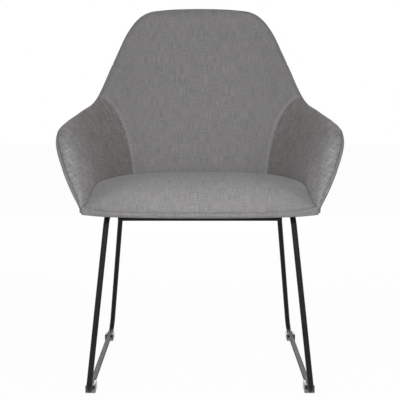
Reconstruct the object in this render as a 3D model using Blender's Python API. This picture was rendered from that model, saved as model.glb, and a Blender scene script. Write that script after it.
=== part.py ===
"""Upholstered tub dining armchair on a sled base of bent steel rod.

Lengths are in metres, +Z is up and the sitter faces -Y, so left is +X. The origin is on the floor
under the middle of the chair. A wall of padded layers (outer cover, moulded core, inner pad) runs
round a seat board that slopes down to the back. The wall is lofted through key ribs: each rib
stands on the board's plane and ends in a rounded rim. The base is two closed loops of rod with two
crossbars, bolted up into the board through four welded plates.
"""
import math

import bmesh
import bpy
import numpy as np
from mathutils import Matrix, Vector

# Overall sizes of the tub
TUB_HALF_WIDTH = 0.310
TUB_HALF_DEPTH = 0.290
BACK_HEIGHT = 0.838
PAN_HEIGHT = 0.361
PAN_SLOPE = math.radians(8.2)
RIM_WALL = 0.040
RIM_HEIGHT_SHARE = 0.85

# Places on the tub's plan as shares of its half width and half depth, front negative
SEAT_FRONT_SHARE = 1.0034
SEAT_CORNER_SHARE = 0.8897
CORNER_WIDTH_SHARE = 0.7532
BORDER_WIDTH_SHARE = 0.7274
CUSHION_CENTRE_SHARE = -0.207
RUNNER_SPACING_SHARE = 0.74516
FOOT_FRONT_SHARE = 0.8793
FOOT_REAR_SHARE = 0.8621
FRONT_BAR_SHARE = -0.638
PLATE_FRONT_SHARE = -0.4828
PLATE_REAR_SHARE = 0.2414
GLIDE_FRONT_SHARE = -0.7
GLIDE_REAR_SHARE = 0.65517

# Layers of the wall, from the outside in
TOUCH_GAP = 0.0003
LAYER_GAP = 0.001
COVER_THICKNESS = 0.005
COVER_HANG_REAR = 0.0044
COVER_HANG_FRONT = 0.008
COVER_HANG_TIP = 0.0127
COVER_TIP_TURN = 0.004
CORE_THICKNESS = 0.008
CORE_RIM_STOP = 0.010
FLANGE_WIDTH = 0.022
FLANGE_THICKNESS = 0.004
SEAM_ANGLE = math.radians(-45)
BACK_RIM_END = math.radians(90)
ARM_RIM_END = math.radians(55)
NEXT_TO_SEAM_ANGLE = math.radians(-15)
OUTER_SEAM_GAP = 0.0015

# Seat board, border and cushion
BOARD_THICKNESS = 0.012
SEAM_DROP = 0.0104
SEAM_RISE = 0.0095
BORDER_HEIGHT = 0.0105
BORDER_THICKNESS = 0.004
BORDER_RETURN = 0.052
CUSHION_REAR_HEIGHT = 0.0841
CUSHION_FRONT_HEIGHT = 0.0526
CUSHION_NOSE_RISE = 0.017
CUSHION_CORNER_DROP = 0.052
CUSHION_CROWN = 0.012
CUSHION_ROUND = 0.020
CUSHION_NOSE = 0.045
CUSHION_NOSE_WALL = 0.028
CUSHION_CLEARANCE = 0.0015
CUSHION_CORNER_CLEARANCE = 0.003
DUST_COVER_THICKNESS = 0.001
DUST_COVER_INSET = 0.002

# Rod base
ROD_DIAMETER = 0.011
BEND_RADIUS = 0.026
SPLAY_SLOPE_SHARE = 0.110
FRONT_LEAN_SHARE = 0.078
REAR_LEAN_SHARE = 0.300
REAR_BAR_SETBACK = 0.021

# Mounting plates, bolts, washers and threaded inserts
PLATE_THICKNESS = 0.003
PLATE_LENGTH = 0.052
PLATE_WIDTH = 0.042
PLATE_CORNER = 0.006
NOTCH_CLEARANCE = 0.001
BOLT_INSET = 0.020
BOLT_DIAMETER = 0.006
BOLT_HEAD_DIAMETER = 0.0115
BOLT_HEAD_HEIGHT = 0.004
WASHER_DIAMETER = 0.0135
WASHER_THICKNESS = 0.0012
INSERT_FLANGE_DIAMETER = 0.018
INSERT_FLANGE_THICKNESS = 0.0013
INSERT_BARREL_DIAMETER = 0.0085
INSERT_BARREL_LENGTH = 0.009
SCREW_DIAMETER = 0.0036
SCREW_LENGTH = 0.0115
SCREW_HEAD_DIAMETER = 0.0075
SCREW_HEAD_HEIGHT = 0.0022
POINT_SHARE = 0.3
DOME_SHARE = 0.7

# Glides
GLIDE_FLOOR = 0.005
GLIDE_WIDTH = 0.023
GLIDE_HEIGHT = 0.017
GLIDE_LENGTH = 0.035
GLIDE_MOUTH = 0.008
GLIDE_CORNER = 0.003

SIDES = (("left", 1), ("right", -1))
SEAT_FRONT = TUB_HALF_DEPTH * SEAT_FRONT_SHARE
SEAT_CORNER = TUB_HALF_DEPTH * SEAT_CORNER_SHARE
CORNER_HALF_WIDTH = TUB_HALF_WIDTH * CORNER_WIDTH_SHARE
BORDER_HALF_WIDTH = TUB_HALF_WIDTH * BORDER_WIDTH_SHARE
CUSHION_CENTRE_Y = TUB_HALF_DEPTH * CUSHION_CENTRE_SHARE
RUNNER_HALF_SPACING = TUB_HALF_WIDTH * RUNNER_SPACING_SHARE
FOOT_FRONT = TUB_HALF_DEPTH * FOOT_FRONT_SHARE
FOOT_REAR = TUB_HALF_DEPTH * FOOT_REAR_SHARE
FRONT_BAR_Y = TUB_HALF_DEPTH * FRONT_BAR_SHARE
PLATE_FRONT_Y = TUB_HALF_DEPTH * PLATE_FRONT_SHARE
PLATE_REAR_Y = TUB_HALF_DEPTH * PLATE_REAR_SHARE
GLIDE_FRONT_Y = TUB_HALF_DEPTH * GLIDE_FRONT_SHARE
GLIDE_REAR_Y = TUB_HALF_DEPTH * GLIDE_REAR_SHARE
ROD_RADIUS = ROD_DIAMETER / 2
RUNNER_Z = GLIDE_FLOOR + ROD_RADIUS
CUT_OVERRUN = 0.004
ROUND_SIDES = 16
SMALL_ROUND_SIDES = 12
ROD_BEVEL_STEPS = 5
BEND_STEPS = 6
GLIDE_CORNER_STEPS = 3
GLIDE_BORE_STEPS = 10
PLATE_CORNER_STEPS = 4
RIM_POINTS = 7
OUTER_RIM_POINTS = 4
HEIGHT_SAMPLES = 81

# Key ribs from the middle of the back round to the lower front corner of one arm. Columns: outer
# foot x y, inner foot x y and crest x y as shares of the half width and half depth; crest height
# as a share of the back's rise; rim wall share; azimuth of the wall's outward direction; handle
# shares of the outer curve, the inner curve's start and its end.
RIB_SHARES = (
    (0.000, 0.586, 0.000, 0.386, 0.000, 0.938, 1.000, 0.85, 90, 0.20, 0.25, 0.20),
    (0.242, 0.583, 0.200, 0.383, 0.290, 0.931, 0.993, 0.85, 84, 0.20, 0.25, 0.20),
    (0.413, 0.572, 0.339, 0.376, 0.457, 0.903, 0.968, 0.85, 72, 0.17, 0.30, 0.17),
    (0.532, 0.548, 0.419, 0.370, 0.579, 0.834, 0.877, 0.85, 60, 0.14, 0.40, 0.15),
    (0.613, 0.510, 0.475, 0.365, 0.684, 0.703, 0.716, 0.85, 50, 0.14, 0.58, 0.15),
    (0.668, 0.430, 0.510, 0.355, 0.787, 0.483, 0.535, 0.85, 38, 0.15, 0.78, 0.17),
    (0.726, 0.190, 0.574, 0.155, 0.867, 0.241, 0.476, 0.90, 14, 0.21, 0.68, 0.24),
    (0.770, -0.103, 0.626, -0.103, 0.928, -0.069, 0.435, 0.95, 4, 0.29, 0.48, 0.24),
    (0.794, -0.379, 0.655, -0.379, 0.931, -0.362, 0.410, 1.00, 0, 0.33, 0.35, 0.22),
    (0.806, -0.552, 0.671, -0.569, 0.913, -0.559, 0.355, 1.00, -4, 0.36, 0.36, 0.25),
    (0.806, -0.690, 0.690, -0.707, 0.861, -0.697, 0.260, 0.90, -6, 0.32, 0.32, 0.21),
    (0.794, -0.800, 0.723, -0.810, 0.806, -0.803, 0.166, 0.65, -8, 0.38, 0.38, 0.20),
    (0.777, -0.879, 0.752, -0.883, 0.768, -0.886, 0.092, 0.25, -10, 0.40, 0.40, 0.30),
)
SEAM_STATION = 5
LAST_STATION = len(RIB_SHARES) - 1
COVER_SEAM_STATION = 4
CORE_LAST_STATION = 10.4
PAD_LAST_STATION = 11.7
SCREW_STATIONS = (1.5, 6.8, 9.0)
HANG_STATIONS = (5.5, 9.5, 12)
RIM_END_STATIONS = (3.5, 6.0)
FACE_HANDLE_SHARES = (0.30, 0.30)
RIB_POINTS = 8
SEAM_GAP_SHARE = 0.008
BACK_STEP_SHARE = 0.5
ARM_STEP_SHARE = 0.35
STATION_MARGIN_SHARE = 0.1
TANGENT_STEP_SHARE = 0.02
THIN_WALL_SHARE = 0.3
LEAST_HEIGHT_STEP_SHARE = 0.02
OUTER_END_HANDLE_SHARE = 0.8

# Cushion: stations of its sides, front columns by share of the half width, and the edge's
# profile as front inset, front height, side inset and side height shares
NOSE_FIRST_STATION = 10.0
NOSE_PROFILE_STATION = 9.4
CUSHION_LAST_STATION = 11.7
BOARD_LAST_STATION = 9.4
BOARD_FRONT_SHARE = 0.75
OUTLINE_STEP = 2
DUST_COVER_LAST_STATION = 9.8
DUST_COVER_FRONT_SHARE = 0.86
SEAT_ARC_POWER = 2.6
SEAM_RISE_POWER = 8
CORNER_DROP_POWER = 16
CUSHION_FRONT_EDGE_SHARE = 0.87
CUSHION_REAR_EDGE_SHARE = 0.362
CUSHION_FOOT_SHARES = (0.6, 0.4)
FRONT_COLUMN_SHARES = (0.0, 0.16, 0.32, 0.48, 0.63, 0.77, 0.88, 0.955)
EDGE_PROFILE_SHARES = (
    (0.09, 0.00, 0.20, 0.00),
    (0.01, 0.05, 0.03, 0.06),
    (-0.02, 0.23, 0.00, 0.30),
    (0.02, 0.44, 0.00, 0.55),
    (0.13, 0.64, 0.02, 0.76),
    (0.33, 0.81, 0.12, 0.90),
    (0.64, 0.93, 0.45, 0.98),
    (1.00, 1.00, 1.00, 1.00),
)
CROWN_SHARES = (0.14, 0.32, 0.52, 0.74)

# Border's section: distance back and height above the seam as shares of its return and height
BORDER_OUTER_SHARES = (
    (0.000, 0.00), (-0.023, -0.45), (0.010, -0.90), (0.090, -1.00), (0.450, -0.80),
    (0.720, -0.45), (1.000, -0.16))
BORDER_CORNER_DROP_SHARE = 0.35
BORDER_CORNER_RETURN_SHARE = 0.28
BORDER_CORNER_POWER = 3
BORDER_SECTIONS = 25

FABRIC_GREY = (0.205, 0.198, 0.198)
POWDER_BLACK = (0.012, 0.012, 0.013)
ZINC = (0.60, 0.60, 0.58)
PLYWOOD = (0.48, 0.33, 0.19)
CORE_BLACK = (0.03, 0.03, 0.032)
DUST_BLACK = (0.015, 0.015, 0.016)
CLEAR_PLASTIC = (0.75, 0.77, 0.78)


def clear_scene():
    """Remove every object that the file opened with."""
    for item in list(bpy.data.objects):
        bpy.data.objects.remove(item)


def make_material(name, colour, roughness, metallic=0.0):
    """A plain material with the part's colour, roughness and metallic value."""
    material = bpy.data.materials.new(name)
    material.use_nodes = True
    shader = material.node_tree.nodes["Principled BSDF"]
    shader.inputs["Base Color"].default_value = (*colour, 1.0)
    shader.inputs["Roughness"].default_value = roughness
    shader.inputs["Metallic"].default_value = metallic
    return material


def add_object(name, mesh, material):
    """Put a mesh into the scene as one named piece with its own material."""
    mesh.materials.clear()
    mesh.materials.append(material)
    item = bpy.data.objects.new(name, mesh)
    bpy.context.scene.collection.objects.link(item)
    return item


def finish_mesh(bm, name, smooth_angle=math.radians(35)):
    """Turn a bmesh into a smooth shaded mesh with its faces pointing out."""
    bmesh.ops.recalc_face_normals(bm, faces=bm.faces)
    mesh = bpy.data.meshes.new(name)
    bm.to_mesh(mesh)
    bm.free()
    mesh.shade_smooth()
    mesh.set_sharp_from_angle(angle=smooth_angle)
    return mesh


def cut_with(item, cutter):
    """Subtract a cutter from a piece and keep the cutter out of the model."""
    cutter.hide_render = True
    cutter.display_type = "WIRE"
    boolean = item.modifiers.new("Cut " + cutter.name, "BOOLEAN")
    boolean.operation = "DIFFERENCE"
    boolean.solver = "EXACT"
    boolean.object = cutter


def unit(vector):
    """Vectors at length one."""
    return vector / np.linalg.norm(vector, axis=-1, keepdims=True)


def smooth(value):
    """Ease a share from 0 to 1."""
    value = min(max(value, 0.0), 1.0)
    return value * value * (3 - 2 * value)


def pan_z(y):
    """Height of the seat board's underside."""
    return PAN_HEIGHT - math.tan(PAN_SLOPE) * y


# Wall of the tub
def read_ribs():
    """Key ribs in real sizes: outer foot, inner foot, crest, half wall, azimuth and handles."""
    table = np.array(RIB_SHARES)
    plan = np.array([TUB_HALF_WIDTH, TUB_HALF_DEPTH])
    crest_z = PAN_HEIGHT + table[:, 6] * (BACK_HEIGHT - PAN_HEIGHT)
    return {
        "outer": table[:, 0:2] * plan,
        "inner": table[:, 2:4] * plan,
        "crest": np.column_stack([table[:, 4:6] * plan, crest_z]),
        "radius": table[:, 7] * RIM_WALL / 2,
        "azimuth": np.radians(table[:, 8]),
        "handles": table[:, 9:12],
    }


RIBS = read_ribs()


def through_keys(keys, station, first=0, last=LAST_STATION):
    """Value at a station of the smooth curve through the keys from first to last."""
    def key(index):
        if index < first:
            if first == 0 and keys.ndim == 2:
                mirrored = keys[-index].copy()
                mirrored[0] = -mirrored[0]
                return mirrored
            return 2 * keys[first] - keys[2 * first - index]
        if index > last:
            return 2 * keys[last] - keys[2 * last - index]
        return keys[index]

    index = int(min(max(math.floor(station), first), last - 1))
    t = station - index
    before, start, end, after = (key(index + step) for step in (-1, 0, 1, 2))
    linear = end - before
    square = 2 * before - 5 * start + 4 * end - after
    cube = 3 * start - before - 3 * end + after
    return start + 0.5 * (linear * t + square * t * t + cube * t ** 3)


def bezier(points, t):
    """Points at the values t of the cubic with four control points."""
    t = np.asarray(t)[:, None]
    start, handle_a, handle_b, end = points
    return ((1 - t) ** 3 * start + 3 * (1 - t) ** 2 * t * handle_a
            + 3 * (1 - t) * t * t * handle_b + t ** 3 * end)


class Rib:
    """Section of the wall at one station of the back (from the seam inwards) or of an arm."""

    def __init__(self, station, panel):
        first, last = (0, SEAM_STATION) if panel == "back" else (SEAM_STATION, LAST_STATION)
        step = TANGENT_STEP_SHARE
        crest = through_keys(RIBS["crest"], station)
        ahead = through_keys(RIBS["crest"], min(station + step, LAST_STATION))
        behind = through_keys(RIBS["crest"], max(station - step, 0))
        along = unit(ahead - behind)
        azimuth = through_keys(RIBS["azimuth"], station)
        outward = np.array([math.cos(azimuth), math.sin(azimuth), 0])
        self.outward = unit(outward - outward.dot(along) * along)
        self.up = np.cross(along, self.outward)
        self.radius = through_keys(RIBS["radius"], station)
        self.rise = self.radius * RIM_HEIGHT_SHARE
        self.centre = crest - self.up * self.rise
        outer_foot = through_keys(RIBS["outer"], station)
        inner_foot = through_keys(RIBS["inner"], station, first, last)
        self.outer_foot = np.array([*outer_foot, pan_z(outer_foot[1])])
        self.inner_foot = np.array([*inner_foot, pan_z(inner_foot[1])])
        shares = [through_keys(column, station) for column in RIBS["handles"].T]
        outer_end = self.centre + self.outward * self.radius
        inner_end = self.centre - self.outward * self.radius
        chord = np.linalg.norm(outer_end - self.outer_foot)
        lean = unit(outer_end - self.outer_foot)
        upright = np.array([0, 0, 1])
        self.outer_controls = (
            self.outer_foot, self.outer_foot + lean * shares[0] * chord,
            outer_end - self.up * shares[0] * chord * OUTER_END_HANDLE_SHARE, outer_end)
        self.inner_controls = (
            self.inner_foot, self.inner_foot + upright * shares[1] * chord,
            inner_end - self.up * shares[2] * chord, inner_end)
        low, high = RIM_END_STATIONS
        round_arm = smooth((station - low) / (high - low))
        self.rim_end = BACK_RIM_END + (ARM_RIM_END - BACK_RIM_END) * round_arm
        face_end = self.rim([self.rim_end])[0]
        onward = unit(face_end - self.rim([self.rim_end - TANGENT_STEP_SHARE])[0])
        start_share = shares[1] + (FACE_HANDLE_SHARES[0] - shares[1]) * round_arm
        end_share = shares[2] + (FACE_HANDLE_SHARES[1] - shares[2]) * round_arm
        self.face_controls = (
            self.inner_foot, self.inner_foot + upright * start_share * chord,
            face_end + onward * end_share * chord, face_end)

    def faces(self, t):
        """Outer and inner guide points at the values t of the wall's height."""
        return bezier(self.outer_controls, t), bezier(self.inner_controls, t)

    def face(self, t):
        """Points of the padded inner face at the values t of its height."""
        return bezier(self.face_controls, t)

    def layer(self, t, depth):
        """Points at a depth into the wall from its outer face."""
        outer, inner = self.faces(t)
        return outer + unit(inner - outer) * depth

    def height_value(self, face, height):
        """Value t at which a face stands a height above the board's underside."""
        t = np.linspace(0, 1, HEIGHT_SAMPLES)
        points = face(t)
        above = points[:, 2] - PAN_HEIGHT + math.tan(PAN_SLOPE) * points[:, 1]
        return float(np.interp(height, np.maximum.accumulate(above), t))

    def rim(self, angles, inset=0.0):
        """Rim points by angle from the crest: negative outside, positive inside."""
        angles = np.asarray(angles)[:, None]
        return (self.centre - self.outward * (self.radius - inset) * np.sin(angles)
                + self.up * (self.rise - inset) * np.cos(angles))

    def length(self):
        """Distance from the outer foot to the rim's centre."""
        return np.linalg.norm(self.centre - self.outer_foot)

    def core_top(self):
        """Value of height at which the moulded core stops."""
        return 1 - CORE_RIM_STOP * self.thin() / self.length()

    def thin(self):
        """Share by which layers thin where the wall itself is thin."""
        return min(1.0, self.radius / (RIM_WALL * THIN_WALL_SHARE))


def rib_at(station, panel=None):
    """Rib at a signed station, with the sign of x that its points take."""
    if panel is None:
        panel = "back" if abs(station) < SEAM_STATION else "arm"
    return Rib(abs(station), panel), (-1.0 if station < 0 else 1.0)


def mirror_x(points, sign):
    """Points put on the side that the sign names."""
    return points * np.array([sign, 1.0, 1.0])


def split_quad(bm, corners, from_first):
    """Two triangles across a quad, split from its first corner or from its second."""
    first, second, third, fourth = corners
    if from_first:
        bm.faces.new((first, second, third))
        bm.faces.new((first, third, fourth))
    else:
        bm.faces.new((first, second, fourth))
        bm.faces.new((second, third, fourth))


def loft(rings, name):
    """Closed solid through rings that each hold two facing rows of equally many points.

    Both rows run upwards. All layers split their quads from the front ring's lower corner to the
    rear ring's upper one, so their facets stay parallel and keep their gap."""
    bm = bmesh.new()
    rows = [[bm.verts.new(point) for point in np.concatenate([a, b[::-1]])] for a, b in rings]
    count = len(rows[0])
    for row, following in zip(rows, rows[1:]):
        row_y = sum(vertex.co.y for vertex in row)
        row_is_front = row_y < sum(vertex.co.y for vertex in following)
        for index in range(count):
            after = (index + 1) % count
            runs_up = index < count // 2
            corners = (row[index], row[after], following[after], following[index])
            split_quad(bm, corners, row_is_front == runs_up)
    half = count // 2
    for row in (rows[0], rows[-1]):
        for index in range(half - 1):
            mirror = count - 1 - index
            corners = (row[index], row[index + 1], row[mirror - 1], row[mirror])
            split_quad(bm, corners, True)
    return finish_mesh(bm, name)


def wall_heights(start, top, count=RIB_POINTS):
    """Values of height that all layers share, apart from their own start and top."""
    least = start + np.arange(count) * LEAST_HEIGHT_STEP_SHARE
    values = np.maximum(np.linspace(0, 1, count), least)
    values[-1] = top
    return values


def outer_rim_angles(end):
    """Angles from the rim's outer side up to an end near the outer seam."""
    return np.array([*np.linspace(-math.pi / 2, SEAM_ANGLE, OUTER_RIM_POINTS)[1:-1], end])


def cover_ring(station):
    """Outer cover's section: its outer face up to the outer seam, and the face behind it."""
    rib, sign = rib_at(station)
    depth = COVER_THICKNESS * rib.thin()
    t = np.append(wall_heights(0, rib.core_top()), 1)
    hangs = [COVER_HANG_REAR, COVER_HANG_FRONT, COVER_HANG_TIP]
    hang = np.interp(abs(station), HANG_STATIONS, hangs)
    turn = np.interp(abs(station), [CORE_LAST_STATION, LAST_STATION], [0, COVER_TIP_TURN])
    hang = np.array([0, 0, -hang]) - rib.outward * turn
    angles = outer_rim_angles(SEAM_ANGLE)
    outer = rib.layer(t, 0)
    inner = rib.layer(t, depth)
    outer = np.concatenate([[outer[0] + hang], outer, rib.rim(angles)])
    inner = np.concatenate([[inner[0] + hang], inner, rib.rim(angles, depth)])
    return mirror_x(outer, sign), mirror_x(inner, sign)


def core_ring(station):
    """Moulded core's section: a wall that stops below the rim and a flange under the board."""
    rib, sign = rib_at(station)
    near = (COVER_THICKNESS + LAYER_GAP) * rib.thin()
    far = near + CORE_THICKNESS * rib.thin()
    t = wall_heights(0, rib.core_top())
    outer = rib.layer(t, near)
    inner = rib.layer(t, far)
    drop = np.array([0, 0, -FLANGE_THICKNESS - TOUCH_GAP])
    lift = np.array([0, 0, -TOUCH_GAP])
    inward = unit(rib.inner_foot - rib.outer_foot)
    lip = inner[0] + inward * FLANGE_WIDTH
    outer = np.concatenate([[lip + drop, outer[0] + drop], outer])
    inner = np.concatenate([[lip + lift, inner[0] + lift], inner])
    return mirror_x(outer, sign), mirror_x(inner, sign)


def pad_ring(station, panel, count=RIB_POINTS):
    """Inner pad's section: up the inner face, over the rim to the outer seam, behind the core."""
    rib, sign = rib_at(station, panel)
    thin = rib.thin()
    cover = COVER_THICKNESS * thin
    back = cover + (LAYER_GAP * 2 + CORE_THICKNESS) * thin
    fade = np.interp(abs(station), [CORE_LAST_STATION, PAD_LAST_STATION], [1, 0])
    base = (BOARD_THICKNESS + TOUCH_GAP * 2) * fade
    start = rib.height_value(rib.face, base)
    face = rib.face(np.linspace(start, 1, count))
    wrap_end = SEAM_ANGLE + OUTER_SEAM_GAP / rib.radius
    angles = np.append(np.linspace(rib.rim_end, NEXT_TO_SEAM_ANGLE, RIM_POINTS - 1)[1:], wrap_end)
    face = np.concatenate([face, rib.rim(angles)])
    top = rib.core_top() + LAYER_GAP * 2 * thin / rib.length()
    start = rib.height_value(lambda t: rib.layer(t, back), base)
    behind = rib.layer(wall_heights(start, top), back)
    over = rib.layer([top, (1 + top) / 2, 1], cover + LAYER_GAP)
    wrap = rib.rim(outer_rim_angles(wrap_end), cover + LAYER_GAP)
    behind = np.concatenate([behind, over, wrap])
    return mirror_x(face, sign), mirror_x(behind, sign)


def stations(first, last):
    """Shared stations of the wall from first to last, so that layers keep to the same facets."""
    back = np.arange(0, SEAM_STATION, BACK_STEP_SHARE)
    seam = [SEAM_STATION - SEAM_GAP_SHARE, SEAM_STATION + SEAM_GAP_SHARE]
    arm = np.arange(SEAM_STATION, LAST_STATION, ARM_STEP_SHARE)[1:]
    side = np.concatenate([back, seam, arm])
    shared = np.concatenate([-side[:0:-1], side])
    low, high = first + STATION_MARGIN_SHARE, last - STATION_MARGIN_SHARE
    kept = [float(value) for value in shared if low < value < high]
    return [first, *kept, last]


def build_tub(materials):
    """Outer covers, moulded core and inner pads of the wall."""
    def add(name, rings, material):
        add_object(name, loft(rings, name), materials[material])

    reach = stations(-COVER_SEAM_STATION, COVER_SEAM_STATION)
    add("outer_back_cover", [cover_ring(station) for station in reach], "fabric")
    reach = stations(-CORE_LAST_STATION, CORE_LAST_STATION)
    add("tub_core", [core_ring(station) for station in reach], "core")
    edge = SEAM_STATION - SEAM_GAP_SHARE
    reach = stations(-edge, edge)
    add("inner_back_pad", [pad_ring(station, "back") for station in reach], "fabric")
    for side, sign in SIDES:
        reach = stations(COVER_SEAM_STATION + SEAM_GAP_SHARE, LAST_STATION)
        add(side + "_outer_cover", [cover_ring(sign * station) for station in reach], "fabric")
        reach = stations(SEAM_STATION + SEAM_GAP_SHARE, PAD_LAST_STATION)
        rings = [pad_ring(sign * station, "arm") for station in reach]
        add(side + "_arm_pad", rings, "fabric")


# Seat inside the tub
def seat_front_y(x):
    """Front line of the seat in plan: a shallow arc that turns back to its corners."""
    share = abs(x) / CORNER_HALF_WIDTH
    return -SEAT_FRONT + (SEAT_FRONT - SEAT_CORNER) * share ** SEAT_ARC_POWER


def seam_z(x):
    """Height of the seam under the seat's front, which rises to its corners."""
    share = min(abs(x) / CORNER_HALF_WIDTH, 1)
    return pan_z(-SEAT_FRONT) - SEAM_DROP + SEAM_RISE * share ** SEAM_RISE_POWER


class SeatColumn:
    """One place on the cushion's edge: a station of the wall, or an x along the front."""

    def __init__(self, station=None, x=None):
        self.rib = None
        self.sign = 1.0
        if station is None:
            self.plan = np.array([x, seat_front_y(x)])
            self.drop = 1.0
            self.nose = 1.0
            return
        self.rib, self.sign = rib_at(station)
        reach = CUSHION_LAST_STATION - NOSE_FIRST_STATION
        self.drop = smooth((abs(station) - NOSE_FIRST_STATION) / reach)
        reach = CUSHION_LAST_STATION - NOSE_PROFILE_STATION
        self.nose = smooth((abs(station) - NOSE_PROFILE_STATION) / reach)

    def at_height(self, height):
        """Plan position of the edge at a height above the board's underside."""
        if self.rib is None:
            return self.plan
        value = self.rib.height_value(self.rib.face, height)
        point = mirror_x(self.rib.face([value])[0], self.sign)
        return point[:2]

    def point(self, height, inset):
        """Plan position at a height, moved in towards the seat's centre."""
        plan = self.at_height(height)
        centre = np.array([0, CUSHION_CENTRE_Y])
        clear = CUSHION_CLEARANCE
        if self.rib:
            clear += (CUSHION_CORNER_CLEARANCE - CUSHION_CLEARANCE) * self.drop
        return plan + unit(centre - plan) * (inset + clear)


def seat_columns():
    """Columns round the seat from the left front corner, round the back, along the front."""
    reach = stations(-CUSHION_LAST_STATION, CUSHION_LAST_STATION)
    side = [SeatColumn(station) for station in reach[::-1]]
    front = [-share for share in FRONT_COLUMN_SHARES[:0:-1]] + list(FRONT_COLUMN_SHARES)
    return side + [SeatColumn(x=share * CORNER_HALF_WIDTH) for share in front]


def cushion_edge_z(y):
    """Height of the cushion's edge along the wall."""
    rear = CUSHION_REAR_EDGE_SHARE * TUB_HALF_DEPTH
    front = -SEAT_CORNER * CUSHION_FRONT_EDGE_SHARE
    rear_z = pan_z(rear) + CUSHION_REAR_HEIGHT
    front_z = pan_z(front) + CUSHION_FRONT_HEIGHT
    return rear_z + (front_z - rear_z) * (rear - y) / (rear - front)


def corner_drop(x):
    """Depth by which the cushion's front edge falls towards its corners."""
    return CUSHION_CORNER_DROP * min(abs(x) / CORNER_HALF_WIDTH, 1) ** CORNER_DROP_POWER


def build_cushion(material):
    """Seat cushion: crowned top, rounded edges and a nose that drops in front of the board."""
    columns = seat_columns()
    floor = BOARD_THICKNESS + LAYER_GAP
    rings = [[], []]
    lows = []
    foot, sole = CUSHION_FOOT_SHARES
    for column in columns:
        side_wall = CUSHION_ROUND * (1 - column.drop)
        plan = column.point(floor, CUSHION_NOSE_WALL * column.drop + side_wall * foot)
        level = pan_z(plan[1]) + floor
        seam = seam_z(column.at_height(floor)[0]) + LAYER_GAP
        low = level + (seam - level) * column.drop
        lows.append(low)
        rings[0].append((*plan, level))
        under = column.point(floor, CUSHION_NOSE_WALL * column.drop + side_wall * sole)
        rings[1].append((*under, low))
    for front_in, front_up, side_in, side_up in EDGE_PROFILE_SHARES:
        ring = []
        for column, low in zip(columns, lows):
            inset = (CUSHION_NOSE * front_in * column.nose
                     + CUSHION_ROUND * side_in * (1 - column.nose))
            up = front_up * column.nose + side_up * (1 - column.nose)
            middle = column.point(floor, inset)
            lift = CUSHION_NOSE_RISE - corner_drop(column.at_height(floor)[0])
            top = cushion_edge_z(middle[1]) + lift * column.nose
            level = low + (top - low) * up
            plan = column.point(level - pan_z(middle[1]), inset)
            ring.append((*plan, level))
        rings.append(ring)
    edge = np.array(rings[-1])
    centre = np.array([0, CUSHION_CENTRE_Y])

    def crown_point(outer, share):
        plan = outer[:2] + (centre - outer[:2]) * share
        lift = 1 - (1 - share) ** 2
        above = (outer[2] - cushion_edge_z(outer[1])) * (1 - lift)
        return (*plan, cushion_edge_z(plan[1]) + above + CUSHION_CROWN * lift)

    for share in CROWN_SHARES:
        rings.append([crown_point(outer, share) for outer in edge])
    bm = bmesh.new()
    rows = [[bm.verts.new(point) for point in ring] for ring in rings]
    count = len(columns)
    for row, following in zip(rows, rows[1:]):
        for index in range(count):
            after = (index + 1) % count
            bm.faces.new((row[index], row[after], following[after], following[index]))
    bm.faces.new(rows[0])
    tip = bm.verts.new(crown_point(edge[0], 1.0))
    for index in range(count):
        bm.faces.new((rows[-1][index], rows[-1][(index + 1) % count], tip))
    add_object("seat_cushion", finish_mesh(bm, "seat_cushion"), material)


def sloped_plate(name, outline, low, high, material):
    """Plate that lies along the board's slope, from one height above its underside to another."""
    bm = bmesh.new()
    bottom = [bm.verts.new((x, y, pan_z(y) + low)) for x, y in outline]
    top = [bm.verts.new((x, y, pan_z(y) + high)) for x, y in outline]
    bm.faces.new(bottom)
    bm.faces.new(top)
    count = len(outline)
    for index in range(count):
        after = (index + 1) % count
        bm.faces.new((bottom[index], bottom[after], top[after], top[index]))
    return add_object(name, finish_mesh(bm, name), material)


def board_outline():
    """Seat board in plan: inside the core's wall, cut back behind the cushion's nose."""
    outline = []
    for station in stations(-BOARD_LAST_STATION, BOARD_LAST_STATION)[::OUTLINE_STEP]:
        inner = core_ring(station)[1][2]
        rib = rib_at(station)[0]
        inward = mirror_x(unit(rib.inner_foot - rib.outer_foot), math.copysign(1, station))
        outline.append((inner + inward * LAYER_GAP)[:2])
    for column in seat_columns()[::-1]:
        plan = column.at_height(BOARD_THICKNESS)
        if column.drop > 0 or (column.rib and plan[1] < -SEAT_CORNER * BOARD_FRONT_SHARE):
            outline.append(column.point(BOARD_THICKNESS, CUSHION_NOSE_WALL + LAYER_GAP))
    return order_round(outline)


def order_round(outline):
    """Outline points put in order round the seat's centre."""
    def bearing(point):
        return math.atan2(point[1] - CUSHION_CENTRE_Y, point[0])

    return sorted(outline, key=bearing)


def dust_cover_outline():
    """Dust cover in plan: inside the core's flange, up to the border's return."""
    outline = []
    for station in stations(-DUST_COVER_LAST_STATION, DUST_COVER_LAST_STATION)[::OUTLINE_STEP]:
        lip = core_ring(station)[1][0]
        rib = rib_at(station)[0]
        inward = mirror_x(unit(rib.inner_foot - rib.outer_foot), math.copysign(1, station))
        outline.append((lip + inward * DUST_COVER_INSET)[:2])
    front = -SEAT_FRONT + BORDER_RETURN + DUST_COVER_INSET
    ends = (outline[0], outline[-1])
    for end in ends:
        outline.append((end[0] * DUST_COVER_FRONT_SHARE, front))
    return order_round(outline)


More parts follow.
